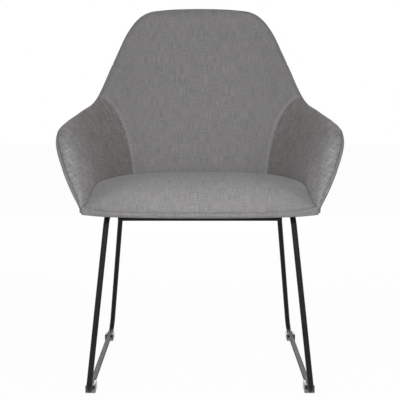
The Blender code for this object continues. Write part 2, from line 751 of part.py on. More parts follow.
def border_rings():
    """Border's sections along the seat's front, from right to left."""
    rings = []
    for share in np.linspace(-1, 1, BORDER_SECTIONS):
        x = share * BORDER_HALF_WIDTH
        corner = abs(share) ** BORDER_CORNER_POWER
        back = BORDER_RETURN * (1 - (1 - BORDER_CORNER_RETURN_SHARE) * corner)
        drop = BORDER_CORNER_DROP_SHARE * corner
        outer = np.array([(x, seat_front_y(x) + along * back,
                           seam_z(x) + (up - drop * max(along, 0) * (1 + up)) * BORDER_HEIGHT)
                          for along, up in BORDER_OUTER_SHARES])
        follow = np.gradient(outer[:, 1:], axis=0)
        normal = unit(np.column_stack([-follow[:, 1], follow[:, 0]]))
        inner = outer.copy()
        inner[:, 1:] += normal * BORDER_THICKNESS
        inner[0, 2] = outer[0, 2]
        rings.append((outer, inner))
    return rings


def build_seat(materials, cutters):
    """Seat board, dust cover, border and cushion."""
    board = sloped_plate("seat_board", board_outline(), 0.0, BOARD_THICKNESS,
                         materials["plywood"])
    dust = sloped_plate("dust_cover", dust_cover_outline(), -TOUCH_GAP - DUST_COVER_THICKNESS,
                        -TOUCH_GAP, materials["dust"])
    for cutter in cutters["bolts"]:
        cut_with(board, cutter)
        cut_with(dust, cutter)
    for cutter in cutters["inserts"] + cutters["screws"]:
        cut_with(board, cutter)
    for cutter in cutters["screws"] + cutters["notches"]:
        cut_with(bpy.data.objects["tub_core"], cutter)
    add_object("front_border", loft(border_rings(), "front_border"), materials["fabric"])
    build_cushion(materials["fabric"])


# Turned pieces and their places on the board's slope
def turned(name, profile, sides, inner=False, flats=()):
    """Solid of rings (radius, height) round Z, closed by caps, or round a bore when inner is set.

    The rings named in flats are hexagons, whose radius is half their width across flats."""
    bm = bmesh.new()
    rows = []
    for index, (radius, height) in enumerate(profile):
        row = []
        for step in range(sides):
            angle = math.tau * step / sides
            reach = radius
            if index in flats:
                reach = radius / math.cos((angle + math.pi / 6) % (math.pi / 3) - math.pi / 6)
            row.append(bm.verts.new((reach * math.cos(angle), reach * math.sin(angle), height)))
        rows.append(row)
    pairs = list(zip(rows, rows[1:]))
    if inner:
        pairs.append((rows[-1], rows[0]))
    else:
        bm.faces.new(rows[0])
        bm.faces.new(rows[-1])
    for row, following in pairs:
        for index in range(sides):
            after = (index + 1) % sides
            bm.faces.new((row[index], row[after], following[after], following[index]))
    return finish_mesh(bm, name)


def on_pan(x, y, depth=0.0):
    """Placement on the board's underside, with Z square to it, moved down by a depth."""
    place = Matrix.Translation((x, y, pan_z(y))) @ Matrix.Rotation(-PAN_SLOPE, 4, "X")
    return place @ Matrix.Translation((0, 0, -depth))


def rod_drop():
    """Depth of the rail's centre line under the board, measured square to it."""
    return TOUCH_GAP * 3 + DUST_COVER_THICKNESS + PLATE_THICKNESS + ROD_RADIUS


def rail_z(y):
    """Height of the rail's centre line."""
    return pan_z(y) - rod_drop() / math.cos(PAN_SLOPE)


def splay_x(z):
    """Half distance between the two loops at a height."""
    return RUNNER_HALF_SPACING - SPLAY_SLOPE_SHARE * (z - RUNNER_Z)


def loop_corners():
    """Corners of a side loop in its own y and z: front foot, rear foot, rear top, front top."""
    slope = math.tan(PAN_SLOPE)
    front_foot = np.array([-FOOT_FRONT, RUNNER_Z])
    rear_foot = np.array([FOOT_REAR, RUNNER_Z])

    def meet(foot, lean):
        level = rail_z(0)
        rise = (level - slope * foot[0] - foot[1]) / (1 + slope * lean)
        return foot + np.array([lean * rise, rise])

    rear_top = meet(rear_foot, -REAR_LEAN_SHARE)
    front_top = meet(front_foot, FRONT_LEAN_SHARE)
    return [front_foot, rear_foot, rear_top, front_top]


def bent_path(corners, radius):
    """Closed path with its corners bent to a radius."""
    path = []
    count = len(corners)
    for index, corner in enumerate(corners):
        before = unit(corners[index - 1] - corner)
        after = unit(corners[(index + 1) % count] - corner)
        half = math.acos(float(before.dot(after))) / 2
        centre = corner + unit(before + after) * radius / math.sin(half)
        start = corner + before * radius / math.tan(half) - centre
        turn = math.pi - 2 * half
        cross = before[0] * after[1] - before[1] * after[0]
        direction = -1 if cross > 0 else 1
        for step in range(BEND_STEPS + 1):
            angle = direction * turn * step / BEND_STEPS
            spun = np.array([start[0] * math.cos(angle) - start[1] * math.sin(angle),
                             start[0] * math.sin(angle) + start[1] * math.cos(angle)])
            path.append(centre + spun)
    return path


def build_loop(side, sign, material):
    """One side of the sled: runner, legs and rail bent from a single rod."""
    name = side + "_side_loop"
    curve = bpy.data.curves.new(name, "CURVE")
    curve.dimensions = "3D"
    curve.bevel_depth = ROD_RADIUS
    curve.bevel_resolution = ROD_BEVEL_STEPS
    path = bent_path(loop_corners(), BEND_RADIUS)
    spline = curve.splines.new("POLY")
    spline.points.add(len(path) - 1)
    for point, (y, z) in zip(spline.points, path):
        point.co = (sign * splay_x(z), y, z, 1)
    spline.use_cyclic_u = True
    item = bpy.data.objects.new(name, curve)
    curve.materials.append(material)
    bpy.context.scene.collection.objects.link(item)


def rod_between(name, start, end, radius):
    """Straight round rod between two points."""
    start, end = Vector(start), Vector(end)
    length = (end - start).length
    mesh = turned(name, ((radius, 0), (radius, length)), ROUND_SIDES)
    item = bpy.data.objects.new(name, mesh)
    turn = (end - start).to_track_quat("Z", "Y").to_matrix().to_4x4()
    item.matrix_world = Matrix.Translation(start) @ turn
    bpy.context.scene.collection.objects.link(item)
    return item


def build_crossbars(material):
    """Front bar coped between the rails, and rear bar welded under them before the bends."""
    level = rail_z(FRONT_BAR_Y)
    reach = splay_x(level)
    bar = rod_between("front_crossbar", (-reach, FRONT_BAR_Y, level),
                      (reach, FRONT_BAR_Y, level), ROD_RADIUS)
    bar.data.materials.append(material)
    for side, sign in SIDES:
        ends = []
        for y in (FRONT_BAR_Y - BEND_RADIUS, FRONT_BAR_Y + BEND_RADIUS):
            ends.append((sign * splay_x(rail_z(y)), y, rail_z(y)))
        cutter = rod_between(side + "_cope_cutter", *ends, ROD_RADIUS + TOUCH_GAP)
        cut_with(bar, cutter)
        end_block = rod_between(side + "_end_cutter", (sign * reach, FRONT_BAR_Y, level),
                                (sign * (reach + ROD_DIAMETER), FRONT_BAR_Y, level), ROD_DIAMETER)
        cut_with(bar, end_block)
    y = loop_corners()[2][0] - REAR_BAR_SETBACK
    level = rail_z(y) - (ROD_DIAMETER + TOUCH_GAP) / math.cos(PAN_SLOPE)
    reach = splay_x(rail_z(y)) + ROD_RADIUS
    bar = rod_between("rear_crossbar", (-reach, y, level), (reach, y, level), ROD_RADIUS)
    bar.data.materials.append(material)


def bolt_places():
    """Named places of the four bolts: side and end, sign, x and y."""
    places = []
    for end, y in (("front", PLATE_FRONT_Y), ("rear", PLATE_REAR_Y)):
        for side, sign in SIDES:
            places.append((end + "_" + side, sign, sign * (splay_x(rail_z(y)) - BOLT_INSET), y))
    return places


def rounded_rectangle(width, length, corner):
    """Outline of a rectangle with round corners."""
    outline = []
    for turn, (x, y) in enumerate(((1, 1), (-1, 1), (-1, -1), (1, -1))):
        for step in range(PLATE_CORNER_STEPS + 1):
            angle = math.pi / 2 * (turn + step / PLATE_CORNER_STEPS)
            outline.append((x * (width / 2 - corner) + corner * math.cos(angle),
                            y * (length / 2 - corner) + corner * math.sin(angle)))
    return outline


def prism(name, outline, low, high):
    """Solid between two copies of an outline in X and Y."""
    bm = bmesh.new()
    bottom = [bm.verts.new((x, y, low)) for x, y in outline]
    top = [bm.verts.new((x, y, high)) for x, y in outline]
    bm.faces.new(bottom)
    bm.faces.new(top)
    count = len(outline)
    for index in range(count):
        after = (index + 1) % count
        bm.faces.new((bottom[index], bottom[after], top[after], top[index]))
    return finish_mesh(bm, name)


def make_cutters():
    """Hole cutters for the bolts, their threaded inserts and the core's screws."""
    cutters = {"bolts": [], "inserts": [], "screws": [], "notches": []}

    def place_cutter(kind, name, mesh, place):
        item = bpy.data.objects.new(name, mesh)
        item.matrix_world = place
        bpy.context.scene.collection.objects.link(item)
        cutters[kind].append(item)

    def cutter(kind, name, radius, low, high, place):
        sides = SMALL_ROUND_SIDES if kind == "screws" else ROUND_SIDES
        mesh = turned(name, ((radius, low), (radius, high)), sides)
        place_cutter(kind, name, mesh, place)

    for name, sign, x, y in bolt_places():
        if y == PLATE_REAR_Y:
            wide = PLATE_WIDTH + NOTCH_CLEARANCE * 2
            long = PLATE_LENGTH + NOTCH_CLEARANCE * 2
            mesh = prism(name + "_notch_cutter", rounded_rectangle(wide, long, PLATE_CORNER),
                         -FLANGE_THICKNESS - CUT_OVERRUN, 0)
            plate_x = sign * (splay_x(rail_z(y)) + ROD_RADIUS - PLATE_WIDTH / 2)
            place_cutter("notches", name + "_notch_cutter", mesh, on_pan(plate_x, y))
        under = rod_drop() - ROD_RADIUS + CUT_OVERRUN
        cutter("bolts", name + "_bolt_cutter", INSERT_BARREL_DIAMETER / 2 + TOUCH_GAP,
               -under, BOARD_THICKNESS + CUT_OVERRUN, on_pan(x, y))
        board = BOARD_THICKNESS * math.cos(PAN_SLOPE)
        depth = board - INSERT_FLANGE_THICKNESS - TOUCH_GAP
        cutter("inserts", name + "_insert_cutter", INSERT_FLANGE_DIAMETER / 2 + TOUCH_GAP,
               depth, board + CUT_OVERRUN, on_pan(x, y))
    for name, x, y in screw_places():
        cutter("screws", name + "_cutter", SCREW_DIAMETER / 2 + TOUCH_GAP,
               -FLANGE_THICKNESS - CUT_OVERRUN, SCREW_LENGTH - FLANGE_THICKNESS + TOUCH_GAP,
               on_pan(x, y))
    return cutters


def screw_places():
    """Places of the screws through the middle of the core's flange."""
    places = []
    for side, sign in SIDES:
        for index, station in enumerate(SCREW_STATIONS):
            ring = core_ring(sign * station)[1]
            middle = (ring[0] + ring[1]) / 2
            places.append((side + "_core_screw_" + str(index + 1), middle[0], middle[1]))
    return places


def build_fastenings(materials, cutters):
    """Plates on the rails with their bolts, washers and inserts, and the core's screws."""
    plate_low = TOUCH_GAP * 2 + DUST_COVER_THICKNESS + PLATE_THICKNESS
    board = BOARD_THICKNESS * math.cos(PAN_SLOPE)
    for index, (name, sign, x, y) in enumerate(bolt_places()):
        plate_x = sign * (splay_x(rail_z(y)) + ROD_RADIUS - PLATE_WIDTH / 2)
        outline = rounded_rectangle(PLATE_WIDTH, PLATE_LENGTH, PLATE_CORNER)
        mesh = prism(name + "_plate", outline, 0, PLATE_THICKNESS)
        plate = add_object(name + "_plate", mesh, materials["powder"])
        plate.matrix_world = on_pan(plate_x, y, plate_low)
        cut_with(plate, cutters["bolts"][index])
        washer_low = plate_low + TOUCH_GAP + WASHER_THICKNESS
        bore = BOLT_DIAMETER / 2 + TOUCH_GAP
        profile = ((bore, 0), (WASHER_DIAMETER / 2, 0), (WASHER_DIAMETER / 2, WASHER_THICKNESS),
                   (bore, WASHER_THICKNESS))
        washer = add_object(name + "_washer", turned(name + "_washer", profile, ROUND_SIDES, True),
                            materials["zinc"])
        washer.matrix_world = on_pan(x, y, washer_low)
        head_low = washer_low + TOUCH_GAP + BOLT_HEAD_HEIGHT
        tip = head_low + board - INSERT_FLANGE_THICKNESS
        thread = BOLT_DIAMETER / 2
        profile = ((BOLT_HEAD_DIAMETER / 2, 0), (BOLT_HEAD_DIAMETER / 2, BOLT_HEAD_HEIGHT),
                   (thread, BOLT_HEAD_HEIGHT), (thread, tip - thread * POINT_SHARE),
                   (thread * DOME_SHARE, tip))
        bolt = add_object(name + "_bolt", turned(name + "_bolt", profile, SMALL_ROUND_SIDES, flats=(0, 1)),
                          materials["zinc"])
        bolt.matrix_world = on_pan(x, y, head_low)
        top = INSERT_BARREL_LENGTH
        flange = top - INSERT_FLANGE_THICKNESS
        profile = ((bore, 0), (INSERT_BARREL_DIAMETER / 2, 0), (INSERT_BARREL_DIAMETER / 2, flange),
                   (INSERT_FLANGE_DIAMETER / 2, flange), (INSERT_FLANGE_DIAMETER / 2, top),
                   (bore, top))
        insert = add_object(name + "_insert", turned(name + "_insert", profile, ROUND_SIDES, True),
                            materials["zinc"])
        insert.matrix_world = on_pan(x, y, top - board)
    head = SCREW_HEAD_DIAMETER / 2
    thread = SCREW_DIAMETER / 2
    tip = SCREW_HEAD_HEIGHT + SCREW_LENGTH
    profile = ((head * DOME_SHARE, 0), (head, SCREW_HEAD_HEIGHT / 2), (head, SCREW_HEAD_HEIGHT),
               (thread, SCREW_HEAD_HEIGHT), (thread, tip - thread),
               (thread * POINT_SHARE, tip - TOUCH_GAP))
    for name, x, y in screw_places():
        screw = add_object(name, turned(name, profile, SMALL_ROUND_SIDES), materials["zinc"])
        under = (TOUCH_GAP + FLANGE_THICKNESS) * math.cos(PAN_SLOPE) + TOUCH_GAP
        screw.matrix_world = on_pan(x, y, under + SCREW_HEAD_HEIGHT)


def arc(centre, radii, first, last, steps):
    """Points of an elliptical arc between two angles in degrees."""
    angles = np.radians(np.linspace(first, last, steps + 1))
    return [(centre[0] + radii[0] * math.cos(angle), centre[1] + radii[1] * math.sin(angle))
            for angle in angles]


def glide_outline():
    """Section of a glide: a flat foot and two cheeks that snap round the rod."""
    side = GLIDE_WIDTH / 2 - GLIDE_CORNER
    bore = ROD_RADIUS + TOUCH_GAP
    mouth = math.degrees(math.asin(GLIDE_MOUTH / 2 / bore))
    sole = GLIDE_CORNER / 2
    steps = GLIDE_CORNER_STEPS
    right = arc((side, sole), (GLIDE_CORNER, sole), -90, 0, steps)
    right += arc((side, GLIDE_HEIGHT - GLIDE_CORNER), (GLIDE_CORNER, GLIDE_CORNER), 0, 90, steps)
    right.append((GLIDE_MOUTH / 2 + sole / 2, GLIDE_HEIGHT))
    bore_arc = arc((0, RUNNER_Z), (bore, bore), 90 - mouth, mouth - 270, GLIDE_BORE_STEPS)
    return right + bore_arc + [(-x, y) for x, y in right[::-1]]


def build_glides(material):
    """Four clear saddle glides under the runners."""
    for end, y in (("front", GLIDE_FRONT_Y), ("rear", GLIDE_REAR_Y)):
        for side, sign in SIDES:
            name = end + "_" + side + "_glide"
            mesh = prism(name, glide_outline(), 0, GLIDE_LENGTH)
            glide = add_object(name, mesh, material)
            turn = Matrix.Rotation(math.pi / 2, 4, "X")
            place = Matrix.Translation((sign * RUNNER_HALF_SPACING, y + GLIDE_LENGTH / 2, 0))
            glide.matrix_world = place @ turn


def build_base(materials):
    """Sled base: two bent loops, two crossbars and four glides."""
    for side, sign in SIDES:
        build_loop(side, sign, materials["powder"])
    build_crossbars(materials["powder"])
    build_glides(materials["clear"])


def main():
    """Build the whole chair."""
    clear_scene()
    materials = {
        "fabric": make_material("Woven fabric", FABRIC_GREY, 0.9),
        "core": make_material("Moulded core", CORE_BLACK, 0.6),
        "plywood": make_material("Plywood", PLYWOOD, 0.6),
        "dust": make_material("Dust cover cloth", DUST_BLACK, 0.9),
        "powder": make_material("Black powder coat", POWDER_BLACK, 0.4),
        "zinc": make_material("Zinc plate", ZINC, 0.35, 1.0),
        "clear": make_material("Clear plastic", CLEAR_PLASTIC, 0.15),
    }
    cutters = make_cutters()
    build_tub(materials)
    build_seat(materials, cutters)
    build_fastenings(materials, cutters)
    build_base(materials)


main()
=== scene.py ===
"""Looks of an upholstered tub dining armchair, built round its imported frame."""

import math

import bmesh
import bpy
import numpy as np
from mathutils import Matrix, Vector
from mathutils.kdtree import KDTree


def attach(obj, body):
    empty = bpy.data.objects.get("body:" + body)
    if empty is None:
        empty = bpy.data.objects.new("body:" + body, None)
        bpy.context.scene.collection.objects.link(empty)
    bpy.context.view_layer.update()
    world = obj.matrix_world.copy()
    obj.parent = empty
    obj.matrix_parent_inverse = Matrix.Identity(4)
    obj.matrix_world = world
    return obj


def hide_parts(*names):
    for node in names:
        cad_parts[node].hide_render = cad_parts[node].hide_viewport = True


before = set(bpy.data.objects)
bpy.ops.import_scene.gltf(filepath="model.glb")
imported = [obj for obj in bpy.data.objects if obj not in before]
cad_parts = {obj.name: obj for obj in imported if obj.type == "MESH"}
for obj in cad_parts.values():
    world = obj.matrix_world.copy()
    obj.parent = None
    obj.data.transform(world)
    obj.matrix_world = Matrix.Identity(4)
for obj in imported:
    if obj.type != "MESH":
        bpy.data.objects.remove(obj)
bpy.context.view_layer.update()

# Tub sizes, as in the frame
TUB_HALF_WIDTH = 0.310
TUB_HALF_DEPTH = 0.290
BACK_HEIGHT = 0.838
PAN_HEIGHT = 0.361
PAN_SLOPE = math.radians(8.2)
RIM_WALL = 0.040
RIM_HEIGHT_SHARE = 0.85
SEAM_ANGLE = math.radians(-45)
ARM_RIM_END = math.radians(55)
ARM_HANDLE = 0.30
COVER_THICKNESS = 0.005
CORE_THICKNESS = 0.008
LAYER_GAP = 0.001
BOARD_THICKNESS = 0.012
PLY_THICKNESS = 0.0030
HANG_STATIONS = (5.5, 9.5, 12)
HANGS = (0.0044, 0.008, 0.0127)
TIP_TURN = 0.004

# Key ribs of the wall: outer foot, inner foot and crest in shares of the half width and depth,
# crest height share, rim share, azimuth and three handle shares
RIB_SHARES = (
    (0.000, 0.586, 0.000, 0.386, 0.000, 0.938, 1.000, 0.85, 90, 0.20, 0.25, 0.20),
    (0.242, 0.583, 0.200, 0.383, 0.290, 0.931, 0.993, 0.85, 84, 0.20, 0.25, 0.20),
    (0.413, 0.572, 0.339, 0.376, 0.457, 0.903, 0.968, 0.85, 72, 0.17, 0.30, 0.17),
    (0.532, 0.548, 0.419, 0.370, 0.579, 0.834, 0.877, 0.85, 60, 0.14, 0.40, 0.15),
    (0.613, 0.510, 0.475, 0.365, 0.684, 0.703, 0.716, 0.85, 50, 0.14, 0.58, 0.15),
    (0.668, 0.430, 0.510, 0.355, 0.787, 0.483, 0.535, 0.85, 38, 0.15, 0.78, 0.17),
    (0.726, 0.190, 0.574, 0.155, 0.867, 0.241, 0.476, 0.90, 14, 0.21, 0.68, 0.24),
    (0.770, -0.103, 0.626, -0.103, 0.928, -0.069, 0.435, 0.95, 4, 0.29, 0.48, 0.24),
    (0.794, -0.379, 0.655, -0.379, 0.931, -0.362, 0.410, 1.00, 0, 0.33, 0.35, 0.22),
    (0.806, -0.552, 0.671, -0.569, 0.913, -0.559, 0.355, 1.00, -4, 0.36, 0.36, 0.25),
    (0.806, -0.690, 0.690, -0.707, 0.861, -0.697, 0.260, 0.90, -6, 0.32, 0.32, 0.21),
    (0.794, -0.800, 0.723, -0.810, 0.806, -0.803, 0.166, 0.65, -8, 0.38, 0.38, 0.20),
    (0.777, -0.879, 0.752, -0.883, 0.768, -0.886, 0.092, 0.25, -10, 0.40, 0.40, 0.30),
)
SEAM_STATION = 5
LAST_STATION = 12
COVER_SEAM_STATION = 4
PAD_LAST_STATION = 11.9

# Seat sizes, as in the frame
SEAT_FRONT = 0.291
SEAT_CORNER = 0.258
CORNER_HALF_WIDTH = 0.2335
SEAT_ARC_POWER = 2.6
SEAM_HEIGHT = 0.3925
SEAM_RISE = 0.0095
SEAM_RISE_POWER = 8
CUSHION_CENTRE = np.array([0.0, -0.060])

# Fabric pieces: seams, stitches and meshes
# On the arms the seam lies farther out on the rim than in the frame
ARM_SEAM_ANGLE = math.radians(-62)
PUFF_INSET = 0.0012
VALLEY_DEPTH = 0.0026
VALLEY_WIDTH = 0.0018
STITCH_ROWS = (0.0042, 0.0092)
STITCH_GROOVE = 0.0014
GROOVE_WIDTH = 0.0013
STITCH_LENGTH = 0.0044
STITCH_GAP = 0.0022
STITCH_RADIUS = 0.00085
FINE_STITCH_RADIUS = 0.00050
STITCH_SIDES = 6
BACK_STITCH_ROWS = (12, -3)
ARM_STITCH_COLUMNS = (2, -2)
# Along one stitch: share of its length, share of its radius, lift in radii
STITCH_SHAPE = (
    (0, 0.35, -0.6), (0.18, 0.9, 0.25), (0.5, 1.0, 0.5), (0.82, 0.9, 0.25), (1, 0.35, -0.6))
PAD_STEP = 0.0055
COVER_STEP = 0.0065
FINE_STEP = 0.0016
FINE_REACH = 0.013
PAD_NOSE = 0.006
COVER_NOSE = 0.0015
NOSE_ANGLES = (22, 42, 60, 75, 86)
FACE_SAMPLES = 90
PAD_RIM_SAMPLES = 40
COVER_RIM_SAMPLES = 16
BEHIND_ROWS = 7
LOW_STATION = 10.4
BOARD_CLEARANCE = 0.006
SEAM_OVERLAP = 1.25
PAD_EDGE = 0.007
PAD_EDGE_SHARE = 0.6
PAD_TOP_GAP = 0.012
PINNED_NEAR_SEAM = 0.004
PIN_FADE = 0.03
PINNED_ROWS = 6
# Arm threads: shares of the way out and forwards across them, and out and up along them
ARM_THREADS = ((0.6, -0.8), (0.4, 0.9))
SITTING_SPACE = np.array([0, -0.05, 0.62])
WALL_MIDDLE = np.array([0, -0.05, 0.5])
SITTER = np.array([0, -0.4, 0.75])


def unit(vector):
    """Vectors at length one."""
    return vector / np.maximum(np.linalg.norm(vector, axis=-1, keepdims=True), 1e-12)


def pan_z(y):
    """Height of the seat board's underside."""
    return PAN_HEIGHT - math.tan(PAN_SLOPE) * y


def smooth(value):
    """Ease shares from 0 to 1."""
    value = np.clip(value, 0.0, 1.0)
    return value * value * (3 - 2 * value)


def run_lengths(points):
    """Distance of each point of a polyline from its start."""
    return np.concatenate([[0], np.cumsum(np.linalg.norm(np.diff(points, axis=0), axis=1))])


def link_object(name, data):
    """Link a new object to the scene."""
    item = bpy.data.objects.new(name, data)
    bpy.context.scene.collection.objects.link(item)
    return item


def object_from(bm, name):
    """Link a new object made of a bmesh, with its normals outwards and its faces smooth."""
    bmesh.ops.recalc_face_normals(bm, faces=bm.faces)
    mesh = bpy.data.meshes.new(name)
    bm.to_mesh(mesh)
    bm.free()
    mesh.shade_smooth()
    return link_object(name, mesh)


def bridge(bm, rows):
    """Faces between successive closed rows of vertices."""
    for row, following in zip(rows, rows[1:]):
        for index in range(len(row)):
            after = (index + 1) % len(row)
            bm.faces.new((row[index], row[after], following[after], following[index]))


def coordinates(mesh):
    """Vertex coordinates of a mesh."""
    co = np.empty(len(mesh.vertices) * 3, np.float32)
    mesh.vertices.foreach_get("co", co)
    return co.reshape(-1, 3).astype(float)


def move_to(mesh, co):
    """Set a mesh's vertex coordinates."""
    mesh.vertices.foreach_set("co", co.astype(np.float32).ravel())
    mesh.update()


def evaluated_mesh(item):
    """A new mesh of an object as its modifiers or its curve make it."""
    graph = bpy.context.evaluated_depsgraph_get()
    return bpy.data.meshes.new_from_object(item.evaluated_get(graph))


def apply_modifiers(item):
    """Replace an object's mesh by its evaluated one and drop the modifiers."""
    mesh = evaluated_mesh(item)
    mesh.name = item.name
    item.modifiers.clear()
    item.data = mesh


# Wall of the tub, from the same ribs as the frame
TABLE = np.array(RIB_SHARES)
PLAN = np.array([TUB_HALF_WIDTH, TUB_HALF_DEPTH])
RIBS = {
    "outer": TABLE[:, 0:2] * PLAN,
    "inner": TABLE[:, 2:4] * PLAN,
    "crest": np.column_stack([TABLE[:, 4:6] * PLAN,
                              PAN_HEIGHT + TABLE[:, 6] * (BACK_HEIGHT - PAN_HEIGHT)]),
    "radius": TABLE[:, 7] * RIM_WALL / 2,
    "azimuth": np.radians(TABLE[:, 8]),
    "handles": TABLE[:, 9:12],
}


def through_keys(keys, station, first=0, last=LAST_STATION):
    """Value at a station of the smooth curve through the keys from first to last."""
    def key(index):
        if index < first:
            if first == 0 and keys.ndim == 2:
                mirrored = keys[-index].copy()
                mirrored[0] = -mirrored[0]
                return mirrored
            return 2 * keys[first] - keys[2 * first - index]
        if index > last:
            return 2 * keys[last] - keys[2 * last - index]
        return keys[index]

    index = int(min(max(math.floor(station), first), last - 1))
    t = station - index
    before, start, end, after = (key(index + step) for step in (-1, 0, 1, 2))
    linear = end - before
    square = 2 * before - 5 * start + 4 * end - after
    cube = 3 * start - before - 3 * end + after
    return start + 0.5 * (linear * t + square * t * t + cube * t ** 3)


def bezier(points, t):
    """Points at the values t of the cubic with four control points."""
    t = np.asarray(t, float)[:, None]
    start, handle_a, handle_b, end = points
    return ((1 - t) ** 3 * start + 3 * (1 - t) ** 2 * t * handle_a
            + 3 * (1 - t) * t * t * handle_b + t ** 3 * end)


class Rib:
    """Section of the wall at one station, with its outer and inner face and its rim."""

    def __init__(self, station, panel):
        first, last = (0, SEAM_STATION) if panel == "back" else (SEAM_STATION, LAST_STATION)
        crest = through_keys(RIBS["crest"], station)
        ahead = through_keys(RIBS["crest"], min(station + 0.02, LAST_STATION))
        behind = through_keys(RIBS["crest"], max(station - 0.02, 0))
        along = unit(ahead - behind)
        azimuth = through_keys(RIBS["azimuth"], station)
        outward = np.array([math.cos(azimuth), math.sin(azimuth), 0])
        self.outward = unit(outward - outward.dot(along) * along)
        self.up = np.cross(along, self.outward)
        self.radius = through_keys(RIBS["radius"], station)
        self.rise = self.radius * RIM_HEIGHT_SHARE
        self.centre = crest - self.up * self.rise
        outer_foot = through_keys(RIBS["outer"], station)
        inner_foot = through_keys(RIBS["inner"], station, first, last)
        self.outer_foot = np.array([*outer_foot, pan_z(outer_foot[1])])
        self.inner_foot = np.array([*inner_foot, pan_z(inner_foot[1])])
        shares = [through_keys(column, station) for column in RIBS["handles"].T]
        outer_end = self.centre + self.outward * self.radius
        inner_end = self.centre - self.outward * self.radius
        chord = np.linalg.norm(outer_end - self.outer_foot)
        lean = unit(outer_end - self.outer_foot)
        self.outer_controls = (
            self.outer_foot, self.outer_foot + lean * shares[0] * chord,
            outer_end - self.up * shares[0] * chord * 0.8, outer_end)
        self.inner_controls = (
            self.inner_foot, self.inner_foot + np.array([0, 0, 1]) * shares[1] * chord,
            inner_end - self.up * shares[2] * chord, inner_end)
        self.thin = min(1.0, self.radius / (RIM_WALL * 0.3))
        arm = float(smooth((station - 3.5) / 2.5))
        self.rim_end = math.pi / 2 + (ARM_RIM_END - math.pi / 2) * arm
        face_end = self.rim([self.rim_end])[0]
        onward = unit(face_end - self.rim([self.rim_end - 0.02])[0])
        low, high = (share + (ARM_HANDLE - share) * arm for share in shares[1:])
        self.face_controls = (
            self.inner_foot, self.inner_foot + np.array([0, 0, 1]) * low * chord,
            face_end + onward * high * chord, face_end)

    def outer(self, t):
        return bezier(self.outer_controls, t)

    def inner(self, t):
        return bezier(self.inner_controls, t)

    def face(self, t):
        return bezier(self.face_controls, t)

    def layer(self, t, depth):
        outer = self.outer(t)
        return outer + unit(self.inner(t) - outer) * depth

    def height_value(self, height):
        """Value t at which the inner face stands a height above the board's underside."""
        t = np.linspace(0, 1, 81)
        points = self.face(t)
        above = points[:, 2] - PAN_HEIGHT + math.tan(PAN_SLOPE) * points[:, 1]
        return float(np.interp(height, np.maximum.accumulate(above), t))

    def rim(self, angles, inset=0.0):
        """Rim points by angle from the crest: negative outside, positive inside."""
        angles = np.asarray(angles, float)[:, None]
        return (self.centre - self.outward * (self.radius - inset) * np.sin(angles)
                + self.up * (self.rise - inset) * np.cos(angles))


def panel_at(station):
    """Panel of the inner face at a station."""
    return "back" if abs(station) < SEAM_STATION else "arm"


def spaced(length, step, ends):
    """Positions from nought to a length in metres, closer together near the ends named."""
    values = [0.0]
    while values[-1] < length - 1e-9:
        here = values[-1]
        near = min(here if ends[0] else 1.0, length - here if ends[1] else 1.0)
        share = min(max(near / FINE_REACH, 0.0), 1.0)
        values.append(here + FINE_STEP + (step - FINE_STEP) * share)
    return np.array(values) * length / values[-1]


def station_positions(first, last, panel, step, ends):
    """Stations from first to last, evenly spaced along the wall at half height."""
    probe = np.linspace(first, last, 121)
    points = []
    for station in probe:
        rib = Rib(abs(station), panel)
        middle = (rib.outer if panel == "cover" else rib.inner)([0.6])[0]
        points.append(middle * np.array([-1.0 if station < 0 else 1.0, 1, 1]))
    lengths = run_lengths(points)
    return np.interp(spaced(lengths[-1], step, ends), lengths, probe)


def resample(points, places):
    """Points of a polyline at distances from its start."""
    lengths = run_lengths(points)
    return np.column_stack([np.interp(places, lengths, points[:, axis]) for axis in range(3)])


def length_of(points):
    """Length of a polyline."""
    return float(np.linalg.norm(np.diff(points, axis=0), axis=1).sum())


def grid_normals(grid):
    """Unit normals of a grid of points, by central differences."""
    return unit(np.cross(np.gradient(grid, axis=0), np.gradient(grid, axis=1)))


def towards(points, normals, centre):
    """Normals turned all together to the side that faces a centre."""
    return -normals if np.sum(normals * (centre - points)) < 0 else normals


def distances(grid, axis):
    """Distance along an axis of the grid from its first and its last line."""
    steps = np.linalg.norm(np.diff(grid, axis=axis), axis=2)
    shape = [1, grid.shape[1]] if axis == 0 else [grid.shape[0], 1]
    run = np.concatenate([np.zeros(shape), np.cumsum(steps, axis=axis)], axis=axis)
    total = run[-1:, :] if axis == 0 else run[:, -1:]
    return run, total - run


def seam_profile(distance, rows=()):
    """Depth under the fabric's face at a distance from a seam, with grooves at stitch rows."""
    depth = VALLEY_DEPTH * np.exp(-(distance / VALLEY_WIDTH) ** 2)
    for row in rows:
        depth = depth + STITCH_GROOVE * np.exp(-((distance - row) / GROOVE_WIDTH) ** 2)
    return depth


def solid_from_rows(name, face, behind, weave):
    """Closed mesh of a face grid and a grid behind it, both (columns, rows, 3).

    The rows of the grid behind run back from the face's last row to its first."""
    bm = bmesh.new()
    layer = bm.verts.layers.float_vector.new("weave")
    rows = [[bm.verts.new(point) for point in column]
            for column in np.concatenate([face, behind], axis=1)]
    for row, threads in zip(rows, weave):
        for index, vertex in enumerate(row):
            vertex[layer] = (*threads[min(index, face.shape[1] - 1)], 0.0)
    bridge(bm, rows)
    for row in (rows[0], rows[-1]):
        bmesh.ops.triangulate(bm, faces=[bm.faces.new(row)])
    return object_from(bm, name)


